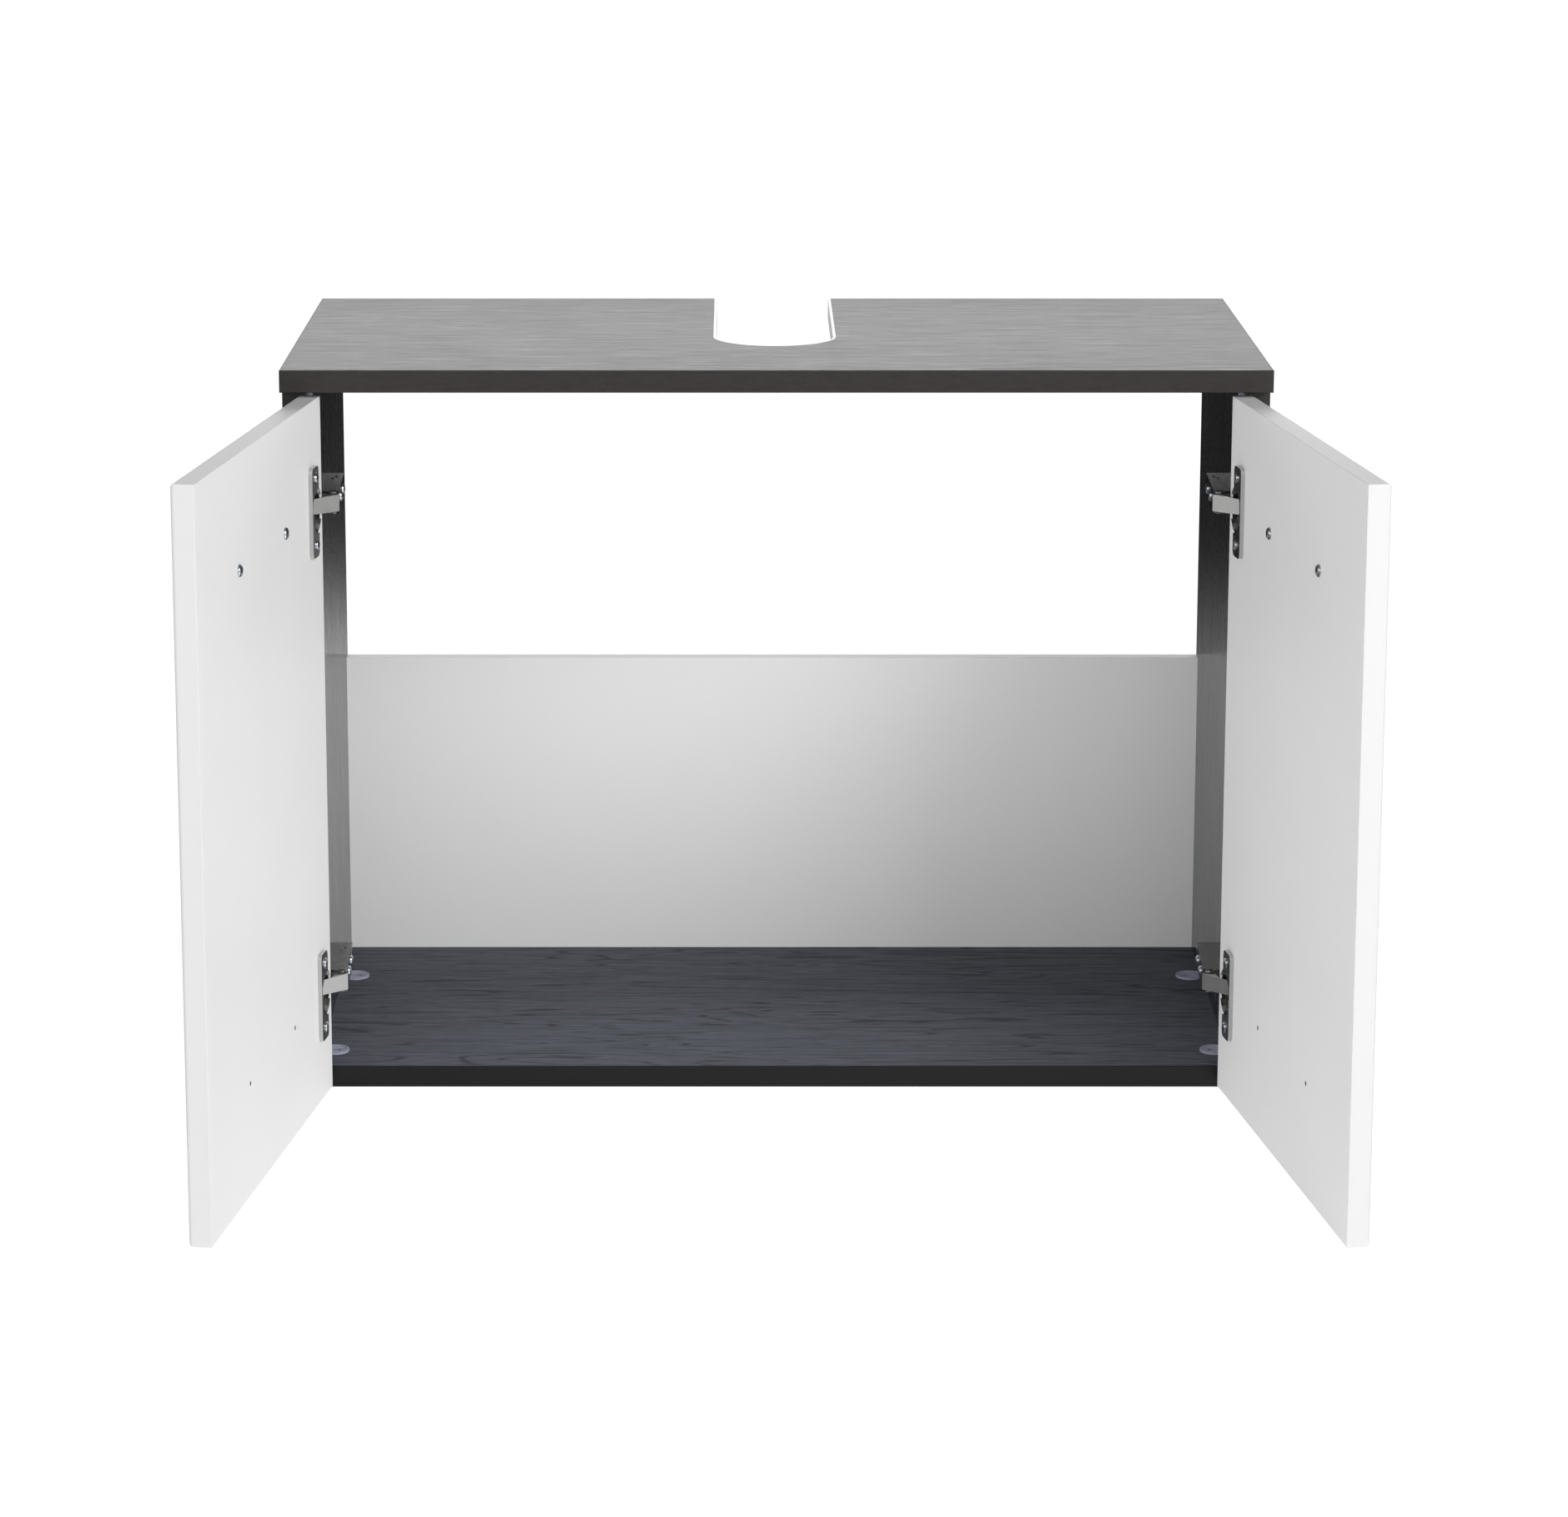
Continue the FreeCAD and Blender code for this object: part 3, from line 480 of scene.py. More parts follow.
def flatten(piece, smooth=True):
    """Turns a piece with modifiers into a plain mesh."""
    bpy.context.view_layer.update()
    evaluated = piece.evaluated_get(bpy.context.evaluated_depsgraph_get())
    plain = bpy.data.meshes.new_from_object(evaluated)
    piece.modifiers.clear()
    piece.data = plain
    if smooth:
        plain.shade_smooth()
        plain.set_sharp_from_angle(angle=math.radians(38))
    if "turn" in plain.attributes:
        plain.attributes.remove(plain.attributes["turn"])
    return piece


def body_of(node):
    return next(name for name, members in frame["record"]["behaviour"]["bodies"].items() if node in members)


def stand_for(piece, node):
    """The piece rides where the CAD node does and is shown in its place."""
    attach(piece, body_of(node))
    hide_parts(node)


# ---- hinge shapes
def middle(node):
    low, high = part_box(node)
    return (Vector(low) + Vector(high)) / 2


def hinge_heights():
    """Heights of the two hinges, from the ends of the left arm pins."""
    low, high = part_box("left_arm_pins")
    half = bpy.context.scene.cabinet_fittings.arm_width / 2
    return low[2] + half, high[2] - half


def prism(build, outline, low, high, matrix):
    """Adds a closed prism to the mesh: an outline of (x, y) points from one height to the other, then placed."""
    rings = [[build.verts.new(matrix @ Vector((x, y, z))) for x, y in outline] for z in (low, high)]
    build.faces.new(rings[0])
    build.faces.new(rings[1])
    for k in range(len(outline)):
        after = (k + 1) % len(outline)
        build.faces.new((rings[0][k], rings[0][after], rings[1][after], rings[1][k]))


def circle(centre, radius, steps=32):
    return [(centre[0] + radius * math.cos(math.tau * k / steps), centre[1] + radius * math.sin(math.tau * k / steps))
            for k in range(steps)]


def softened(corners):
    """An outline with its corners rounded: each corner is (x, y, radius)."""
    outline, steps = [], 6
    for k, (x, y, radius) in enumerate(corners):
        here = Vector((x, y))
        if not radius:
            outline.append((x, y))
            continue
        before = (Vector(corners[k - 1][:2]) - here).normalized()
        after = (Vector(corners[(k + 1) % len(corners)][:2]) - here).normalized()
        inset = radius / math.tan(before.angle(after) / 2)
        start, end = here + before * inset, here + after * inset
        for step in range(steps + 1):
            t = step / steps
            outline.append(tuple(start * (1 - t) ** 2 + here * 2 * t * (1 - t) + end * t ** 2))
    return outline


def hull(points):
    """The convex outline around these (x, y) points."""
    points = sorted(set(points))
    sides = []
    for way in (points, points[::-1]):
        side = []
        for x, y in way:
            while len(side) > 1 and ((side[-1][0] - side[-2][0]) * (y - side[-2][1])
                                     - (side[-1][1] - side[-2][1]) * (x - side[-2][0])) <= 0:
                side.pop()
            side.append((x, y))
        sides += side[:-1]
    return sides


def solid(name, prisms):
    """An object from one bmesh of prisms, each (outline, low, high, matrix), with all faces outwards."""
    build = bmesh.new()
    for each in prisms:
        prism(build, *each)
    bmesh.ops.remove_doubles(build, verts=build.verts, dist=1e-7)
    bmesh.ops.recalc_face_normals(build, faces=build.faces)
    mesh = bpy.data.meshes.new(name)
    build.to_mesh(mesh)
    build.free()
    return new_object(name, mesh)


def shaped(piece, steps, ease):
    """Joins solids to a piece and cuts them from it in order, each step (operation, prisms), and eases its edges."""
    tools = []
    for operation, prisms in steps:
        tool = solid(piece.name + "_tool", prisms)
        tools.append(tool)
        modifier = piece.modifiers.new(operation, "BOOLEAN")
        modifier.operation, modifier.object, modifier.solver = operation, tool, "EXACT"
        modifier.use_self = True
    flatten(piece)
    for tool in tools:
        bpy.data.objects.remove(tool)
    tidy_mesh(piece.data)
    return eased(piece, ease)


def tidy_mesh(mesh):
    """Merges the doubles and joins the flat faces of a mesh."""
    build = bmesh.new()
    build.from_mesh(mesh)
    bmesh.ops.remove_doubles(build, verts=build.verts, dist=1e-6)
    bmesh.ops.dissolve_limit(build, angle_limit=math.radians(1.0), verts=build.verts, edges=build.edges)
    build.to_mesh(mesh)
    build.free()


def eased(piece, ease):
    """Rounds the sharp edges a little, with flat faces that shade flat."""
    piece.data.shade_smooth()
    bevel = piece.modifiers.new("ease", "BEVEL")
    bevel.width, bevel.segments = ease, 2
    bevel.limit_method, bevel.angle_limit = "ANGLE", math.radians(35)
    bevel.use_clamp_overlap = True
    weighted = piece.modifiers.new("weighted", "WEIGHTED_NORMAL")
    weighted.weight, weighted.keep_sharp = 80, False
    return flatten(piece, smooth=False)


def hinge_cups(side, name, ease):
    """The cup sunk in the door with its screw flange, and the mouth that lets the link and the arm's nose in."""
    at = bpy.context.scene.cabinet_fittings
    into = door_matrix(side) @ Matrix(((1, 0, 0, 0), (0, 0, 1, 0), (0, 1, 0, 0), (0, 0, 0, 1)))
    screw_in, screw_aside, hole_radius, dish_radius, dish_depth = 6 * MM, 24 * MM, 1.9 * MM, 4.4 * MM, 0.5 * MM
    collar, front_wall, mouth_depth, clear = 1 * MM, 1.7 * MM, 2.5 * MM, 5 * MM
    radius, half, mouth = at.cup_width / 2, at.flange_length / 2, at.mouth_width / 2
    centre, near, far = at.cup_edge + radius, at.cup_edge + at.cup_width, at.flange_start
    corners = [(x, y, at.flange_round) for x, y in ((near, -half), (near, half), (far, half), (far, -half))]
    slot = [(-clear, -mouth), (near - front_wall, -mouth), (near - front_wall, mouth), (-clear, mouth)]
    flange, shells, cavities, mouths = [], [], [], []
    for z in hinge_heights():
        here = into @ Matrix.Translation((0, z, 0))
        flange.append((softened(corners), -at.flange_thickness, 0.0, here))
        shells.append((circle((centre, 0), radius, 64), -collar, at.cup_depth, here))
        cavities.append((circle((centre, 0), radius - at.sheet, 64), -clear, at.cup_depth - at.sheet, here))
        mouths.append((slot, -clear, mouth_depth, here))
        for way in (-1, 1):
            seat = (centre + screw_in, way * screw_aside)
            cavities.append((circle(seat, dish_radius), -clear, dish_depth - at.flange_thickness, here))
            cavities.append((circle(seat, hole_radius), -clear, clear, here))
    return shaped(solid(name, shells), [("UNION", flange), ("DIFFERENCE", cavities), ("DIFFERENCE", mouths)], ease)


def hinge_links(side, name, ease):
    """The channel-shaped link: a flat web that faces the front, two ears on the arm pin and an eye on the cup pin."""
    at = bpy.context.scene.cabinet_fittings
    flip = Matrix.Diagonal((SIDES[side], 1, 1, 1))
    arm, cup = (flip @ middle(side + pins) for pins in ("_arm_pins", "_cup_pins"))
    span, drop = (arm - cup).to_2d(), at.web_at_arm - at.web_at_cup
    turn = math.atan2(span.y, span.x) - math.asin(drop / span.length)
    along, out = Vector((math.cos(turn), math.sin(turn), 0)), Vector((math.sin(turn), -math.cos(turn), 0))
    start, reach = Vector((cup.x, cup.y, 0)) + out * at.web_at_cup, math.sqrt(span.length ** 2 - drop ** 2)
    sheet, half = at.link_sheet, at.link_width / 2
    ends, taper, corner = (-1.0 * MM, reach + 0.6 * MM), 0.5 * MM, 0.8 * MM
    web = softened([(ends[0], -half + taper, 0), (ends[1], -half, corner), (ends[1], half, corner),
                    (ends[0], half - taper, 0)])
    ear_radius, eye_radius, arm_hole, cup_hole = 3.1 * MM, 2.5 * MM, 1.55 * MM, 1.35 * MM
    feet = [start + along * foot - out * 0.2 * MM for foot in (reach * 0.45, reach + 0.2 * MM)]
    ear = hull([tuple(foot[:2]) for foot in feet] + circle(arm, ear_radius, 24))
    webs, ears, holes = [], [], []
    for z in hinge_heights():
        here = flip @ Matrix.Translation(start + Vector((0, 0, z))) @ Matrix((
            (along.x, 0, out.x, 0), (along.y, 0, out.y, 0), (0, 1, 0, 0), (0, 0, 0, 1)))
        webs.append((web, -sheet / 2, sheet / 2, here))
        for low, high in ((half - sheet, half), (-half, -half + sheet)):
            ears.append((ear, z + low, z + high, flip))
        ears.append((circle(cup, eye_radius, 24), z - half + taper, z + half - taper, flip))
        for pin, radius in ((arm, arm_hole), (cup, cup_hole)):
            holes.append((circle(pin, radius, 24), z - half - MM, z + half + MM, flip))
    return shaped(solid(name, webs), [("UNION", ears), ("DIFFERENCE", holes)], ease)


def hinge_arms(side, name, ease):
    """The arm, with broad cheeks at its nose, riveted heads on its pin and two dimples pressed in each cheek."""
    flip = Matrix.Diagonal((SIDES[side], 1, 1, 1))
    pin, half = flip @ middle(side + "_arm_pins"), bpy.context.scene.cabinet_fittings.arm_width / 2
    cheek, sunk, proud = 1.5 * MM, 0.5 * MM, 0.45 * MM
    corners, dots = ((-8.0, -1.5), (-8.0, 10.0), (3.5, 10.0)), ((0.0, 0.0, 2.3), (-4.4, 49.0, 0.9), (-1.9, 56.0, 0.9))
    nose = hull(circle(pin, 4.0 * MM) + [(pin.x + x * MM, pin.y + y * MM) for x, y in corners])
    heads = [circle((pin.x + x * MM, pin.y + y * MM), radius * MM, 20) for x, y, radius in dots]
    cheeks, rivets = [], []
    for z in hinge_heights():
        for way in (-1, 1):
            low, high = sorted((way * (half - cheek), way * half))
            cheeks.append((nose, z + low, z + high, flip))
            low, high = sorted((way * (half - sunk), way * (half + proud)))
            rivets += [(head, z + low, z + high, flip) for head in heads]
    return shaped(clean_copy(side + "_hinge_arms", name), [("UNION", cheeks), ("UNION", rivets)], ease)


def mounting_plates(side, name, ease):
    """The CAD plates with eased edges."""
    return eased(clean_copy(side + "_mounting_plates", name), ease)


# ---- what repeats, in Geometry Nodes
def solids_of(node):
    """The points of each separate solid of a CAD node, in the order of the node's points."""
    build = bmesh.new()
    build.from_mesh(frame["nodes"][node].data)
    bmesh.ops.remove_doubles(build, verts=build.verts, dist=1e-6)
    build.verts.ensure_lookup_table()
    seen, groups = set(), []
    for first in build.verts:
        if first.index in seen:
            continue
        seen.add(first.index)
        waiting, group = [first], []
        while waiting:
            vertex = waiting.pop()
            group.append(vertex.co.copy())
            for edge in vertex.link_edges:
                other = edge.other_vert(vertex)
                if other.index not in seen:
                    seen.add(other.index)
                    waiting.append(other)
        groups.append(group)
    build.free()
    return groups


def seats(node, axis, height):
    """Where each screw of a CAD node sits: a matrix with Z out of the head, at the middle of the head's underside."""
    axis, a_little_more = Vector(axis).normalized(), 1.02
    spots = []
    for group in solids_of(node):
        top = max(point.dot(axis) for point in group)
        head = [point for point in group if point.dot(axis) > top - height * a_little_more]
        centre = Vector([(min(p[i] for p in head) + max(p[i] for p in head)) / 2 for i in range(3)])
        centre += axis * (top - height - centre.dot(axis))
        spots.append(Matrix.Translation(centre) @ axis.to_track_quat("Z", "Y").to_matrix().to_4x4())
    return spots


def new_tree(name, sizes, finishes):
    """A Geometry Nodes tree that takes spots, sizes and finishes; returns the tree and its input node."""
    tree = bpy.data.node_groups.new(name, "GeometryNodeTree")
    tree.is_modifier = True
    inputs = [("Spots", "Geometry")] + [(size, "Float") for size in sizes] + [(each, "Material") for each in finishes]
    for label, kind in inputs:
        tree.interface.new_socket(name=label, in_out="INPUT", socket_type="NodeSocket" + kind)
    tree.interface.new_socket(name="Piece", in_out="OUTPUT", socket_type="NodeSocketGeometry")
    return tree, tree.nodes.new("NodeGroupInput")


def hung(tree, geometry, depth, top, x):
    """Moves geometry of this depth so that its upper face is at this height."""
    middle_height = maths(tree, "SUBTRACT", top, times(tree, depth, 0.5))
    offset = add_node(tree, "ShaderNodeCombineXYZ", {0: x, 2: middle_height}).outputs[0]
    return add_node(tree, "GeometryNodeTransform", {"Geometry": geometry, "Translation": offset}).outputs[0]


def drum(tree, radius, depth, top, x=0.0, sides=40):
    """A cylinder whose upper face is at this height; sizes are outputs or numbers."""
    node = add_node(tree, "GeometryNodeMeshCylinder", {"Vertices": sides, "Radius": radius, "Depth": depth})
    return hung(tree, node.outputs["Mesh"], depth, top, x)


def block(tree, length, width, depth, top, x=0.0):
    """A box whose upper face is at this height."""
    size = add_node(tree, "ShaderNodeCombineXYZ", {0: length, 1: width, 2: depth}).outputs[0]
    return hung(tree, add_node(tree, "GeometryNodeMeshCube", {"Size": size}).outputs["Mesh"], depth, top, x)


def carved(tree, operation, base, tools):
    """Joins the tools to the base or cuts them from it."""
    node = add_node(tree, "GeometryNodeMeshBoolean", operation=operation, solver="EXACT")
    if operation == "DIFFERENCE":
        tree.links.new(base, node.inputs["Mesh 1"])
    else:
        tools = [base] + tools
    for tool in tools:
        tree.links.new(tool, node.inputs["Mesh 2"])
    return node.outputs["Mesh"]


def cross(tree, size, top, x=0.0):
    """The two bars of the cross recess with these sizes; it starts a little above this height."""
    above = 0.5 * MM
    high, deep = maths(tree, "ADD", top, above), maths(tree, "ADD", size["Cross Depth"], above)
    bars = [block(tree, size[length], size[width], deep, high, x)
            for length, width in (("Cross Length", "Cross Width"), ("Cross Width", "Cross Length"))]
    return carved(tree, "UNION", bars[0], bars[1:])


def live_output(node):
    """The output that a node has for its data type."""
    return next(output for output in node.outputs if output.enabled)


def set_down(tree, source, shape, finishes):
    """Puts the shape on every spot, turned as the spot's attribute says, and gives it its finishes."""
    turn = add_node(tree, "GeometryNodeInputNamedAttribute", {"Name": "turn"}, data_type="FLOAT_VECTOR").outputs[0]
    turned = add_node(tree, "FunctionNodeEulerToRotation", {0: turn}).outputs[0]
    points = add_node(tree, "GeometryNodeMeshToPoints", {"Mesh": source.outputs["Spots"]}).outputs[0]
    result = add_node(tree, "GeometryNodeInstanceOnPoints", {"Points": points, "Instance": shape,
                                                             "Rotation": turned}).outputs[0]
    spin = add_node(tree, "FunctionNodeRandomValue", {"Seed": 7, "Max": source.outputs["Spin"]}, data_type="FLOAT")
    spin = add_node(tree, "ShaderNodeCombineXYZ", {2: live_output(spin)}).outputs[0]
    result = add_node(tree, "GeometryNodeRotateInstances", {"Instances": result, "Rotation": spin}).outputs[0]
    result = add_node(tree, "GeometryNodeRealizeInstances", {0: result}).outputs[0]
    for finish, marked in finishes:
        inputs = {"Geometry": result, "Material": source.outputs[finish]}
        if marked:
            mark = add_node(tree, "GeometryNodeInputNamedAttribute", {"Name": marked}, data_type="BOOLEAN")
            inputs["Selection"] = live_output(mark)
        result = add_node(tree, "GeometryNodeSetMaterial", inputs).outputs[0]
    tree.links.new(result, tree.nodes.new("NodeGroupOutput").inputs[0])


def pan_screw_tree():
    """A pan-head screw with a cross recess: domed head on the seat, shank below it."""
    tree, source = new_tree("pan head screw", ("Head Width", "Head Height", "Shank Width", "Shank Length",
                                               "Cross Length", "Cross Width", "Cross Depth", "Spin"), ("Steel",))
    size, fullness, overlap = source.outputs, 0.6, 0.1 * MM
    ball = add_node(tree, "GeometryNodeMeshUVSphere", {"Segments": 28, "Rings": 14, "Radius": 1.0}).outputs["Mesh"]
    place = add_node(tree, "ShaderNodeSeparateXYZ", {0: add_node(tree, "GeometryNodeInputPosition").outputs[0]})
    radius = times(tree, size["Head Width"], 0.5)
    rise = maths(tree, "POWER", maths(tree, "MAXIMUM", place.outputs[2], 0.0), fullness)
    dome = add_node(tree, "ShaderNodeCombineXYZ", {
        0: times(tree, place.outputs[0], radius), 1: times(tree, place.outputs[1], radius),
        2: times(tree, rise, size["Head Height"])}).outputs[0]
    head = add_node(tree, "GeometryNodeSetPosition", {"Geometry": ball, "Position": dome}).outputs[0]
    head = add_node(tree, "GeometryNodeMergeByDistance", {"Geometry": head, "Distance": 1e-6}).outputs[0]
    shank = drum(tree, times(tree, size["Shank Width"], 0.5), size["Shank Length"], overlap, sides=20)
    recess = cross(tree, size, size["Head Height"])
    screw = carved(tree, "DIFFERENCE", carved(tree, "UNION", head, [shank]), [recess])
    set_down(tree, source, screw, [("Steel", None)])
    return tree


def connector_tree():
    """A round board connector: flanged housing cut straight at the board's end, and its clamping screw beside the
    middle with a cross recess. X points to the board's end, Z out of the board."""
    tree, source = new_tree("round board connector", tuple(CONNECTOR) + ("Spin",), ("Plastic", "Zinc"))
    size, sides, overlap, play, screw_depth, screw_sunk = source.outputs, 64, 0.1 * MM, 0.25 * MM, 5 * MM, 0.05 * MM
    groove_length, groove_width, groove_top, groove_at = 4.2 * MM, 1.3 * MM, 1.8 * MM, 3.4 * MM
    radius = times(tree, size["Width"], 0.5)
    floor_level = maths(tree, "SUBTRACT", size["Rise"], size["Rim Rise"])
    back = times(tree, size["Screw Offset"], -1.0)
    screw_radius = times(tree, size["Screw Width"], 0.5)
    flange = drum(tree, radius, size["Rise"], size["Rise"], sides=sides)
    body = drum(tree, times(tree, size["Body Width"], 0.5), size["Body Depth"], overlap, sides=sides)

    def above_floor(height):
        return maths(tree, "ADD", floor_level, height)

    dish = drum(tree, maths(tree, "SUBTRACT", radius, size["Rim"]), 4 * MM, above_floor(4 * MM), sides=sides)
    bore = drum(tree, maths(tree, "ADD", screw_radius, play), 8 * MM, above_floor(2 * MM), back)
    groove = block(tree, groove_length, groove_width, 3 * MM, above_floor(groove_top), groove_at)
    beyond = block(tree, 10 * MM, 40 * MM, 40 * MM, 20 * MM, maths(tree, "ADD", size["Inset"], 5 * MM))
    housing = carved(tree, "DIFFERENCE", carved(tree, "UNION", flange, [body]), [dish, bore, groove, beyond])
    clamp = drum(tree, screw_radius, screw_depth, above_floor(-screw_sunk), back)
    clamp = carved(tree, "DIFFERENCE", clamp, [cross(tree, size, floor_level, back)])
    clamp = add_node(tree, "GeometryNodeStoreNamedAttribute", {"Geometry": clamp, "Name": "clamp", "Value": True},
                     data_type="BOOLEAN", domain="FACE").outputs[0]
    both = add_node(tree, "GeometryNodeJoinGeometry")
    for part in (housing, clamp):
        tree.links.new(part, both.inputs[0])
    set_down(tree, source, both.outputs[0], [("Plastic", None), ("Zinc", "clamp")])
    return tree


def placed(name, tree, spots, sizes, others):
    """The tree's part at every spot, a matrix, as one plain mesh. Sizes are in millimetres."""
    mesh = bpy.data.meshes.new(name)
    mesh.from_pydata([tuple(spot.translation) for spot in spots], [], [])
    turn = mesh.attributes.new("turn", "FLOAT_VECTOR", "POINT")
    for item, spot in zip(turn.data, spots):
        item.vector = spot.to_euler()
    piece = new_object(name, mesh)
    modifier = piece.modifiers.new(name, "NODES")
    modifier.node_group = tree
    values = {label: size * MM for label, size in sizes.items()} | others
    for socket in tree.interface.items_tree:
        if socket.name in values:
            modifier[socket.identifier] = values[socket.name]
    return flatten(piece)


def connector_spots(place):
    """Middle of each connector's face; X points to the board's end, Z out of the board."""
    spots = []
    for group in solids_of(place + "_connector_cams"):
        low = [min(point[i] for point in group) for i in range(3)]
        high = [max(point[i] for point in group) for i in range(3)]
        centre = (Vector(low) + Vector(high)) / 2
        left = centre.x < 0
        if place == "floor":
            out, end = Vector((0, 0, 1)), Vector((-1 if left else 1, 0, 0))
            centre.z = high[2]
        else:
            out, end = Vector((1 if left else -1, 0, 0)), Vector((0, 0, 1))
            centre.x = high[0] if left else low[0]
        centre += end * CAM_OFFSET
        turn = Matrix((end, out.cross(end), out)).transposed().to_4x4()
        spots.append(Matrix.Translation(centre) @ turn)
    return spots


# ---- studio
def studio_floor(stage):
    """A plain floor of pale paper that glows a little, so that it shows no edge against the backdrop."""
    mesh = bpy.data.meshes.new("studio_floor")
    build = bmesh.new()
    bmesh.ops.create_grid(build, x_segments=1, y_segments=1, size=60)
    build.to_mesh(mesh)
    build.free()
    floor = new_object("studio_floor", mesh)
    material, tree, shader = new_material("pale studio paper", roughness=0.9, specular_ior_level=0.1)
    feed(tree, shader, {"Base Color": mix(tree, noise(tree, 30.0, 30.0), linear("bababa"), linear("bebebe")),
                        "Emission Color": (1, 1, 1, 1), "Emission Strength": stage.paper})
    mesh.materials.append(material)
    floor.visible_glossy = False


def studio_world(stage):
    """Soft bands of light that the finishes mirror. The camera itself sees a plain pale backdrop."""
    world = bpy.data.worlds.new("studio")
    world.use_nodes = True
    tree = world.node_tree
    way = add_node(tree, "ShaderNodeSeparateXYZ", {0: add_node(tree, "ShaderNodeTexCoord").outputs["Generated"]})
    aside, depth, height = way.outputs
    rise = maths(tree, "ADD", times(tree, height, 0.5), 0.5)
    wide = maths(tree, "GREATER_THAN", maths(tree, "ABSOLUTE", aside), WIDE)
    behind = mix(tree, wide, ramp(tree, rise, MIRRORED_BEHIND), WIDE_BRIGHTNESS)
    sky = mix(tree, maths(tree, "GREATER_THAN", depth, 0.0), ramp(tree, rise, MIRRORED_AHEAD), behind)
    right = times(tree, maths(tree, "GREATER_THAN", aside, 0.0), RIGHT_DARKENING)
    sky = mix(tree, times(tree, maths(tree, "POWER", aside, 2.0), right), sky, BLACK)
    low = times(tree, maths(tree, "LESS_THAN", rise, LOW_RISE), LOW_LEAN)
    lean = maths(tree, "ADD", times(tree, aside, low), 1.0)
    sky = mix(tree, 1.0, sky, maths(tree, "MAXIMUM", lean, LEAST_LEAN), "MULTIPLY")
    seen = add_node(tree, "ShaderNodeLightPath").outputs["Is Camera Ray"]
    sky = mix(tree, seen, sky, (stage.backdrop / stage.sky,) * 3 + (1,))
    feed(tree, tree.nodes["Background"], {0: sky, 1: stage.sky})
    bpy.context.scene.world = world


def softbox(name, place, aim, width, height, power):
    data = bpy.data.lights.new(name, "AREA")
    data.shape = "RECTANGLE"
    data.size, data.size_y, data.energy = width, height, power
    light = new_object(name, data)
    light.location = place
    light.rotation_euler = (Vector(aim) - Vector(place)).to_track_quat("-Z", "Y").to_euler()
    light.visible_camera = False


def studio_camera(stage):
    """The camera at the photo's angle."""
    data = bpy.data.cameras.new("camera")
    data.lens, data.sensor_width = stage.camera_lens, 36.0
    data.shift_x, data.shift_y = stage.shift_x, stage.shift_y
    camera = new_object("camera", data)
    camera.location = stage.camera_at
    camera.rotation_euler = (math.pi / 2 - stage.camera_pitch, 0, 0)
    bpy.context.scene.camera = camera


# ---- operators
class CABINET_OT_boards(bpy.types.Operator):
    """Give the carcass boards and bands their finishes"""
    bl_idname = "cabinet.boards"
    bl_label = "Boards"

    def execute(self, context):
        back, down = (0, 1, 0), (0, 0, -1)
        dress(["top_panel"], wood_decor("dark oak decor along the width", (0, 0, 0), [back]))
        # Painted light: the floor panel gets a lighter, bluish copy of the decor
        dress(["floor_panel"], wood_decor("dark oak decor of the floor", (0, 0, 0), [back], gloss=(0.72, 0.60),
                                          specular=0.15, floor=True))
        # Painted shade: the side panels take a copy of the same decor darkened to 0.35, for the shade inside the
        # carcass
        dress(["left_side_panel", "right_side_panel"],
              wood_decor("dark oak decor upright", (0, math.pi / 2, 0), [back, down], 0.35, (0.32, 0.15)))
        dress(["top_edge_bands", "left_side_edge_band", "right_side_edge_band"], edge_band("extruded edge band"))
        # Painted shade: the floor's band is a nearly black copy of the band
        dress(["floor_edge_band"], edge_band("extruded edge band of the floor", 0.1))
        dress(["cutout_edging", "back_panel_edge_band"], white_plastic("white edge band"))
        dress(["back_panel"], white_melamine("white melamine"))
        dress(["floor_dowels", "top_dowels", "back_panel_dowels"], beech("beech peg"))
        return {"FINISHED"}


class CABINET_OT_doors(bpy.types.Operator):
    """Give the doors and handles their finishes"""
    bl_idname = "cabinet.doors"
    bl_label = "Doors"

    def execute(self, context):
        for side in SIDES:
            board = board_of(side + "_door_panel", door_matrix(side))
            dress([side + "_door_panel"], door_foil(side + " door foil", tuple(-into_board(side)), board))
            dress([side + "_handle"], satin_steel(side + " brushed bar steel", (0, 0, math.pi / 2)))
        return {"FINISHED"}


class CABINET_OT_hinges(bpy.types.Operator):
    """Build the pressed parts of the four hinges"""
    bl_idname = "cabinet.hinges"
    bl_label = "Hinges"

    def execute(self, context):
        nickel = bright_nickel("bright nickel plate")
        # Painted shade: the arms take a copy of the nickel darkened to 0.42
        arm_nickel_with_painted_shade = bright_nickel("oiled nickel plate of the arms", 0.42)
        satin = bright_nickel("satin nickel plate of the links", 1.0, (0.32, 0.40))
        for side in SIDES:
            for make, finish in ((hinge_cups, nickel), (hinge_links, satin), (hinge_arms, arm_nickel_with_painted_shade),
                                 (mounting_plates, nickel)):
                node = side + "_" + make.__name__
                stand_for(make(side, node + "_pressed", context.scene.cabinet_fittings.ease), node)
                dress([node + "_pressed"], finish)
        return {"FINISHED"}


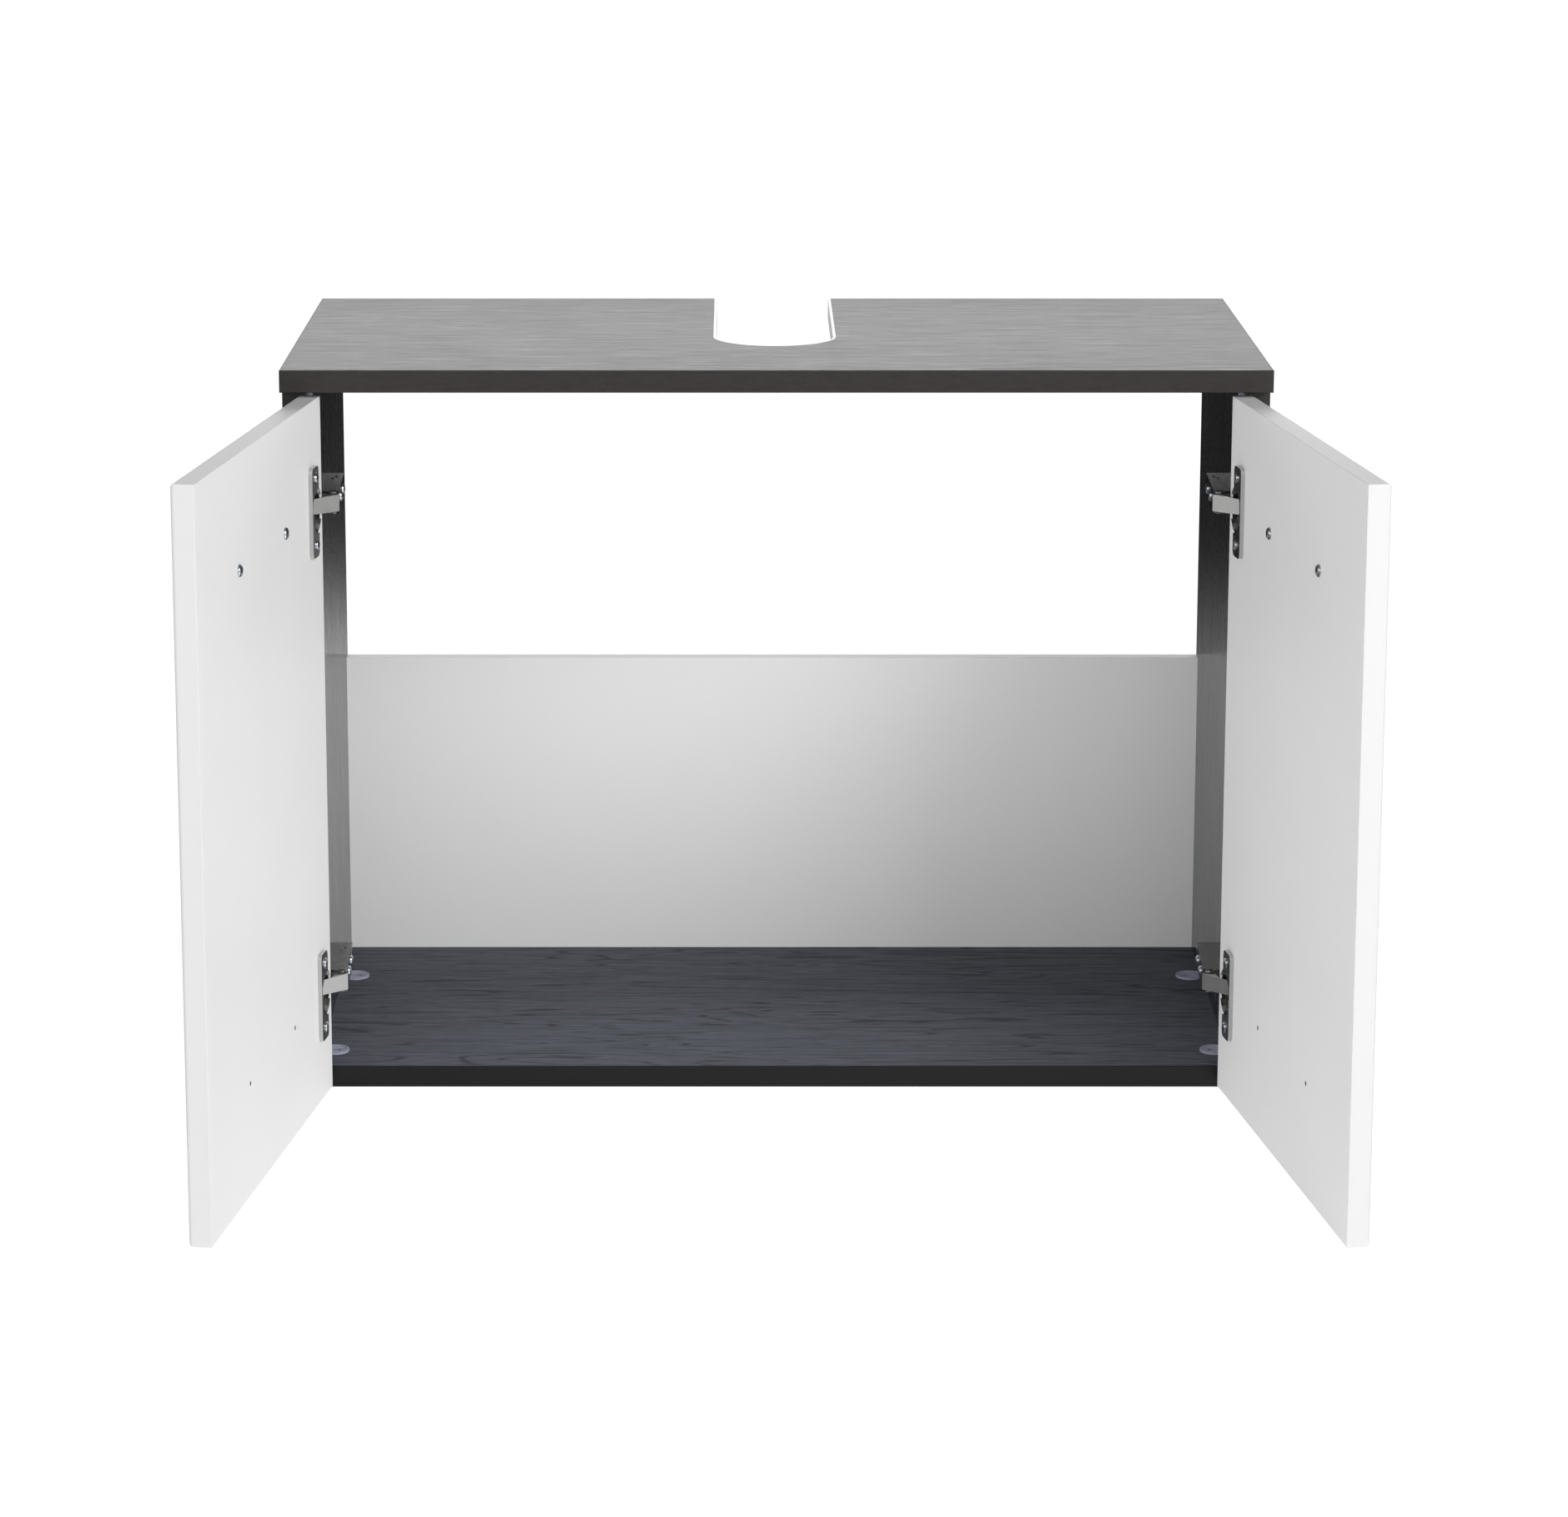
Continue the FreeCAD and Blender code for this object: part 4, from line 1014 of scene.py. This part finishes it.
class CABINET_OT_fasteners(bpy.types.Operator):
    """Build the screws and give the pins and bolts their finish"""
    bl_idname = "cabinet.fasteners"
    bl_label = "Fasteners"

    def execute(self, context):
        zinc = zinc_plate("zinc plated steel")
        dress(["floor_connector_bolts", "top_connector_bolts"], zinc)
        tree = pan_screw_tree()
        for side, sign in SIDES.items():
            dress([side + "_cup_pins", side + "_arm_pins"], zinc)
            for kind, (width, height, shank, length) in SCREWS.items():
                node = side + "_" + kind
                out = -into_board(side) if kind in ("handle_screws", "cup_screws") else (sign, 0, 0)
                sizes = {"Head Width": width, "Head Height": height, "Shank Width": shank, "Shank Length": length,
                         "Cross Length": width * 0.55, "Cross Width": 1.0, "Cross Depth": 1.2}
                others = {"Spin": math.pi / 2, "Steel": zinc}
                stand_for(placed(node + "_cross_recessed", tree, seats(node, out, height * MM), sizes, others), node)
        return {"FINISHED"}


class CABINET_OT_connectors(bpy.types.Operator):
    """Build the round board connectors"""
    bl_idname = "cabinet.connectors"
    bl_label = "Connectors"

    def execute(self, context):
        tree = connector_tree()
        plastic, zinc = moulded_plastic("moulded blue-grey plastic"), cast_zinc("die-cast zinc")
        others = {"Spin": 0.0, "Plastic": plastic, "Zinc": zinc}
        for place in ("floor", "top"):
            piece = placed(place + "_connectors_flanged", tree, connector_spots(place), CONNECTOR, others)
            stand_for(piece, place + "_connector_housings")
            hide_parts(place + "_connector_cams")
        return {"FINISHED"}


class CABINET_OT_stage(bpy.types.Operator):
    """Lay the pale floor and set up the soft lights and the camera"""
    bl_idname = "cabinet.stage"
    bl_label = "Stage"

    def execute(self, context):
        stage = context.scene.cabinet_stage
        context.scene.view_settings.view_transform = "Standard"
        studio_floor(stage)
        studio_world(stage)
        for name, (place, aim, width, height) in SOFTBOXES.items():
            softbox(name + "_softbox", place, aim, width, height, getattr(stage, name))
        studio_camera(stage)
        return {"FINISHED"}


OPERATORS = (CABINET_OT_boards, CABINET_OT_doors, CABINET_OT_hinges, CABINET_OT_fasteners, CABINET_OT_connectors,
             CABINET_OT_stage)


class CABINET_PT_panel(bpy.types.Panel):
    """Shows a button for each of the cabinet's steps"""
    bl_label = "Sink base cabinet"
    bl_space_type = "VIEW_3D"
    bl_region_type = "UI"
    bl_category = "Cabinet"

    def draw(self, context):
        for operator in OPERATORS:
            self.layout.operator(operator.bl_idname)


GROUPS = {"cabinet_finish": CabinetFinish, "cabinet_fittings": CabinetFittings, "cabinet_stage": CabinetStage}
CLASSES = tuple(GROUPS.values()) + OPERATORS + (CABINET_PT_panel,)


def register():
    for each in CLASSES:
        bpy.utils.register_class(each)
    for name, group in GROUPS.items():
        setattr(bpy.types.Scene, name, PointerProperty(type=group))


def unregister():
    for name in GROUPS:
        delattr(bpy.types.Scene, name)
    for each in reversed(CLASSES):
        bpy.utils.unregister_class(each)


def main():
    register()
    for name in ("stage", "boards", "doors", "hinges", "fasteners", "connectors"):
        getattr(bpy.ops.cabinet, name)()


if __name__ == "__main__":
    main()
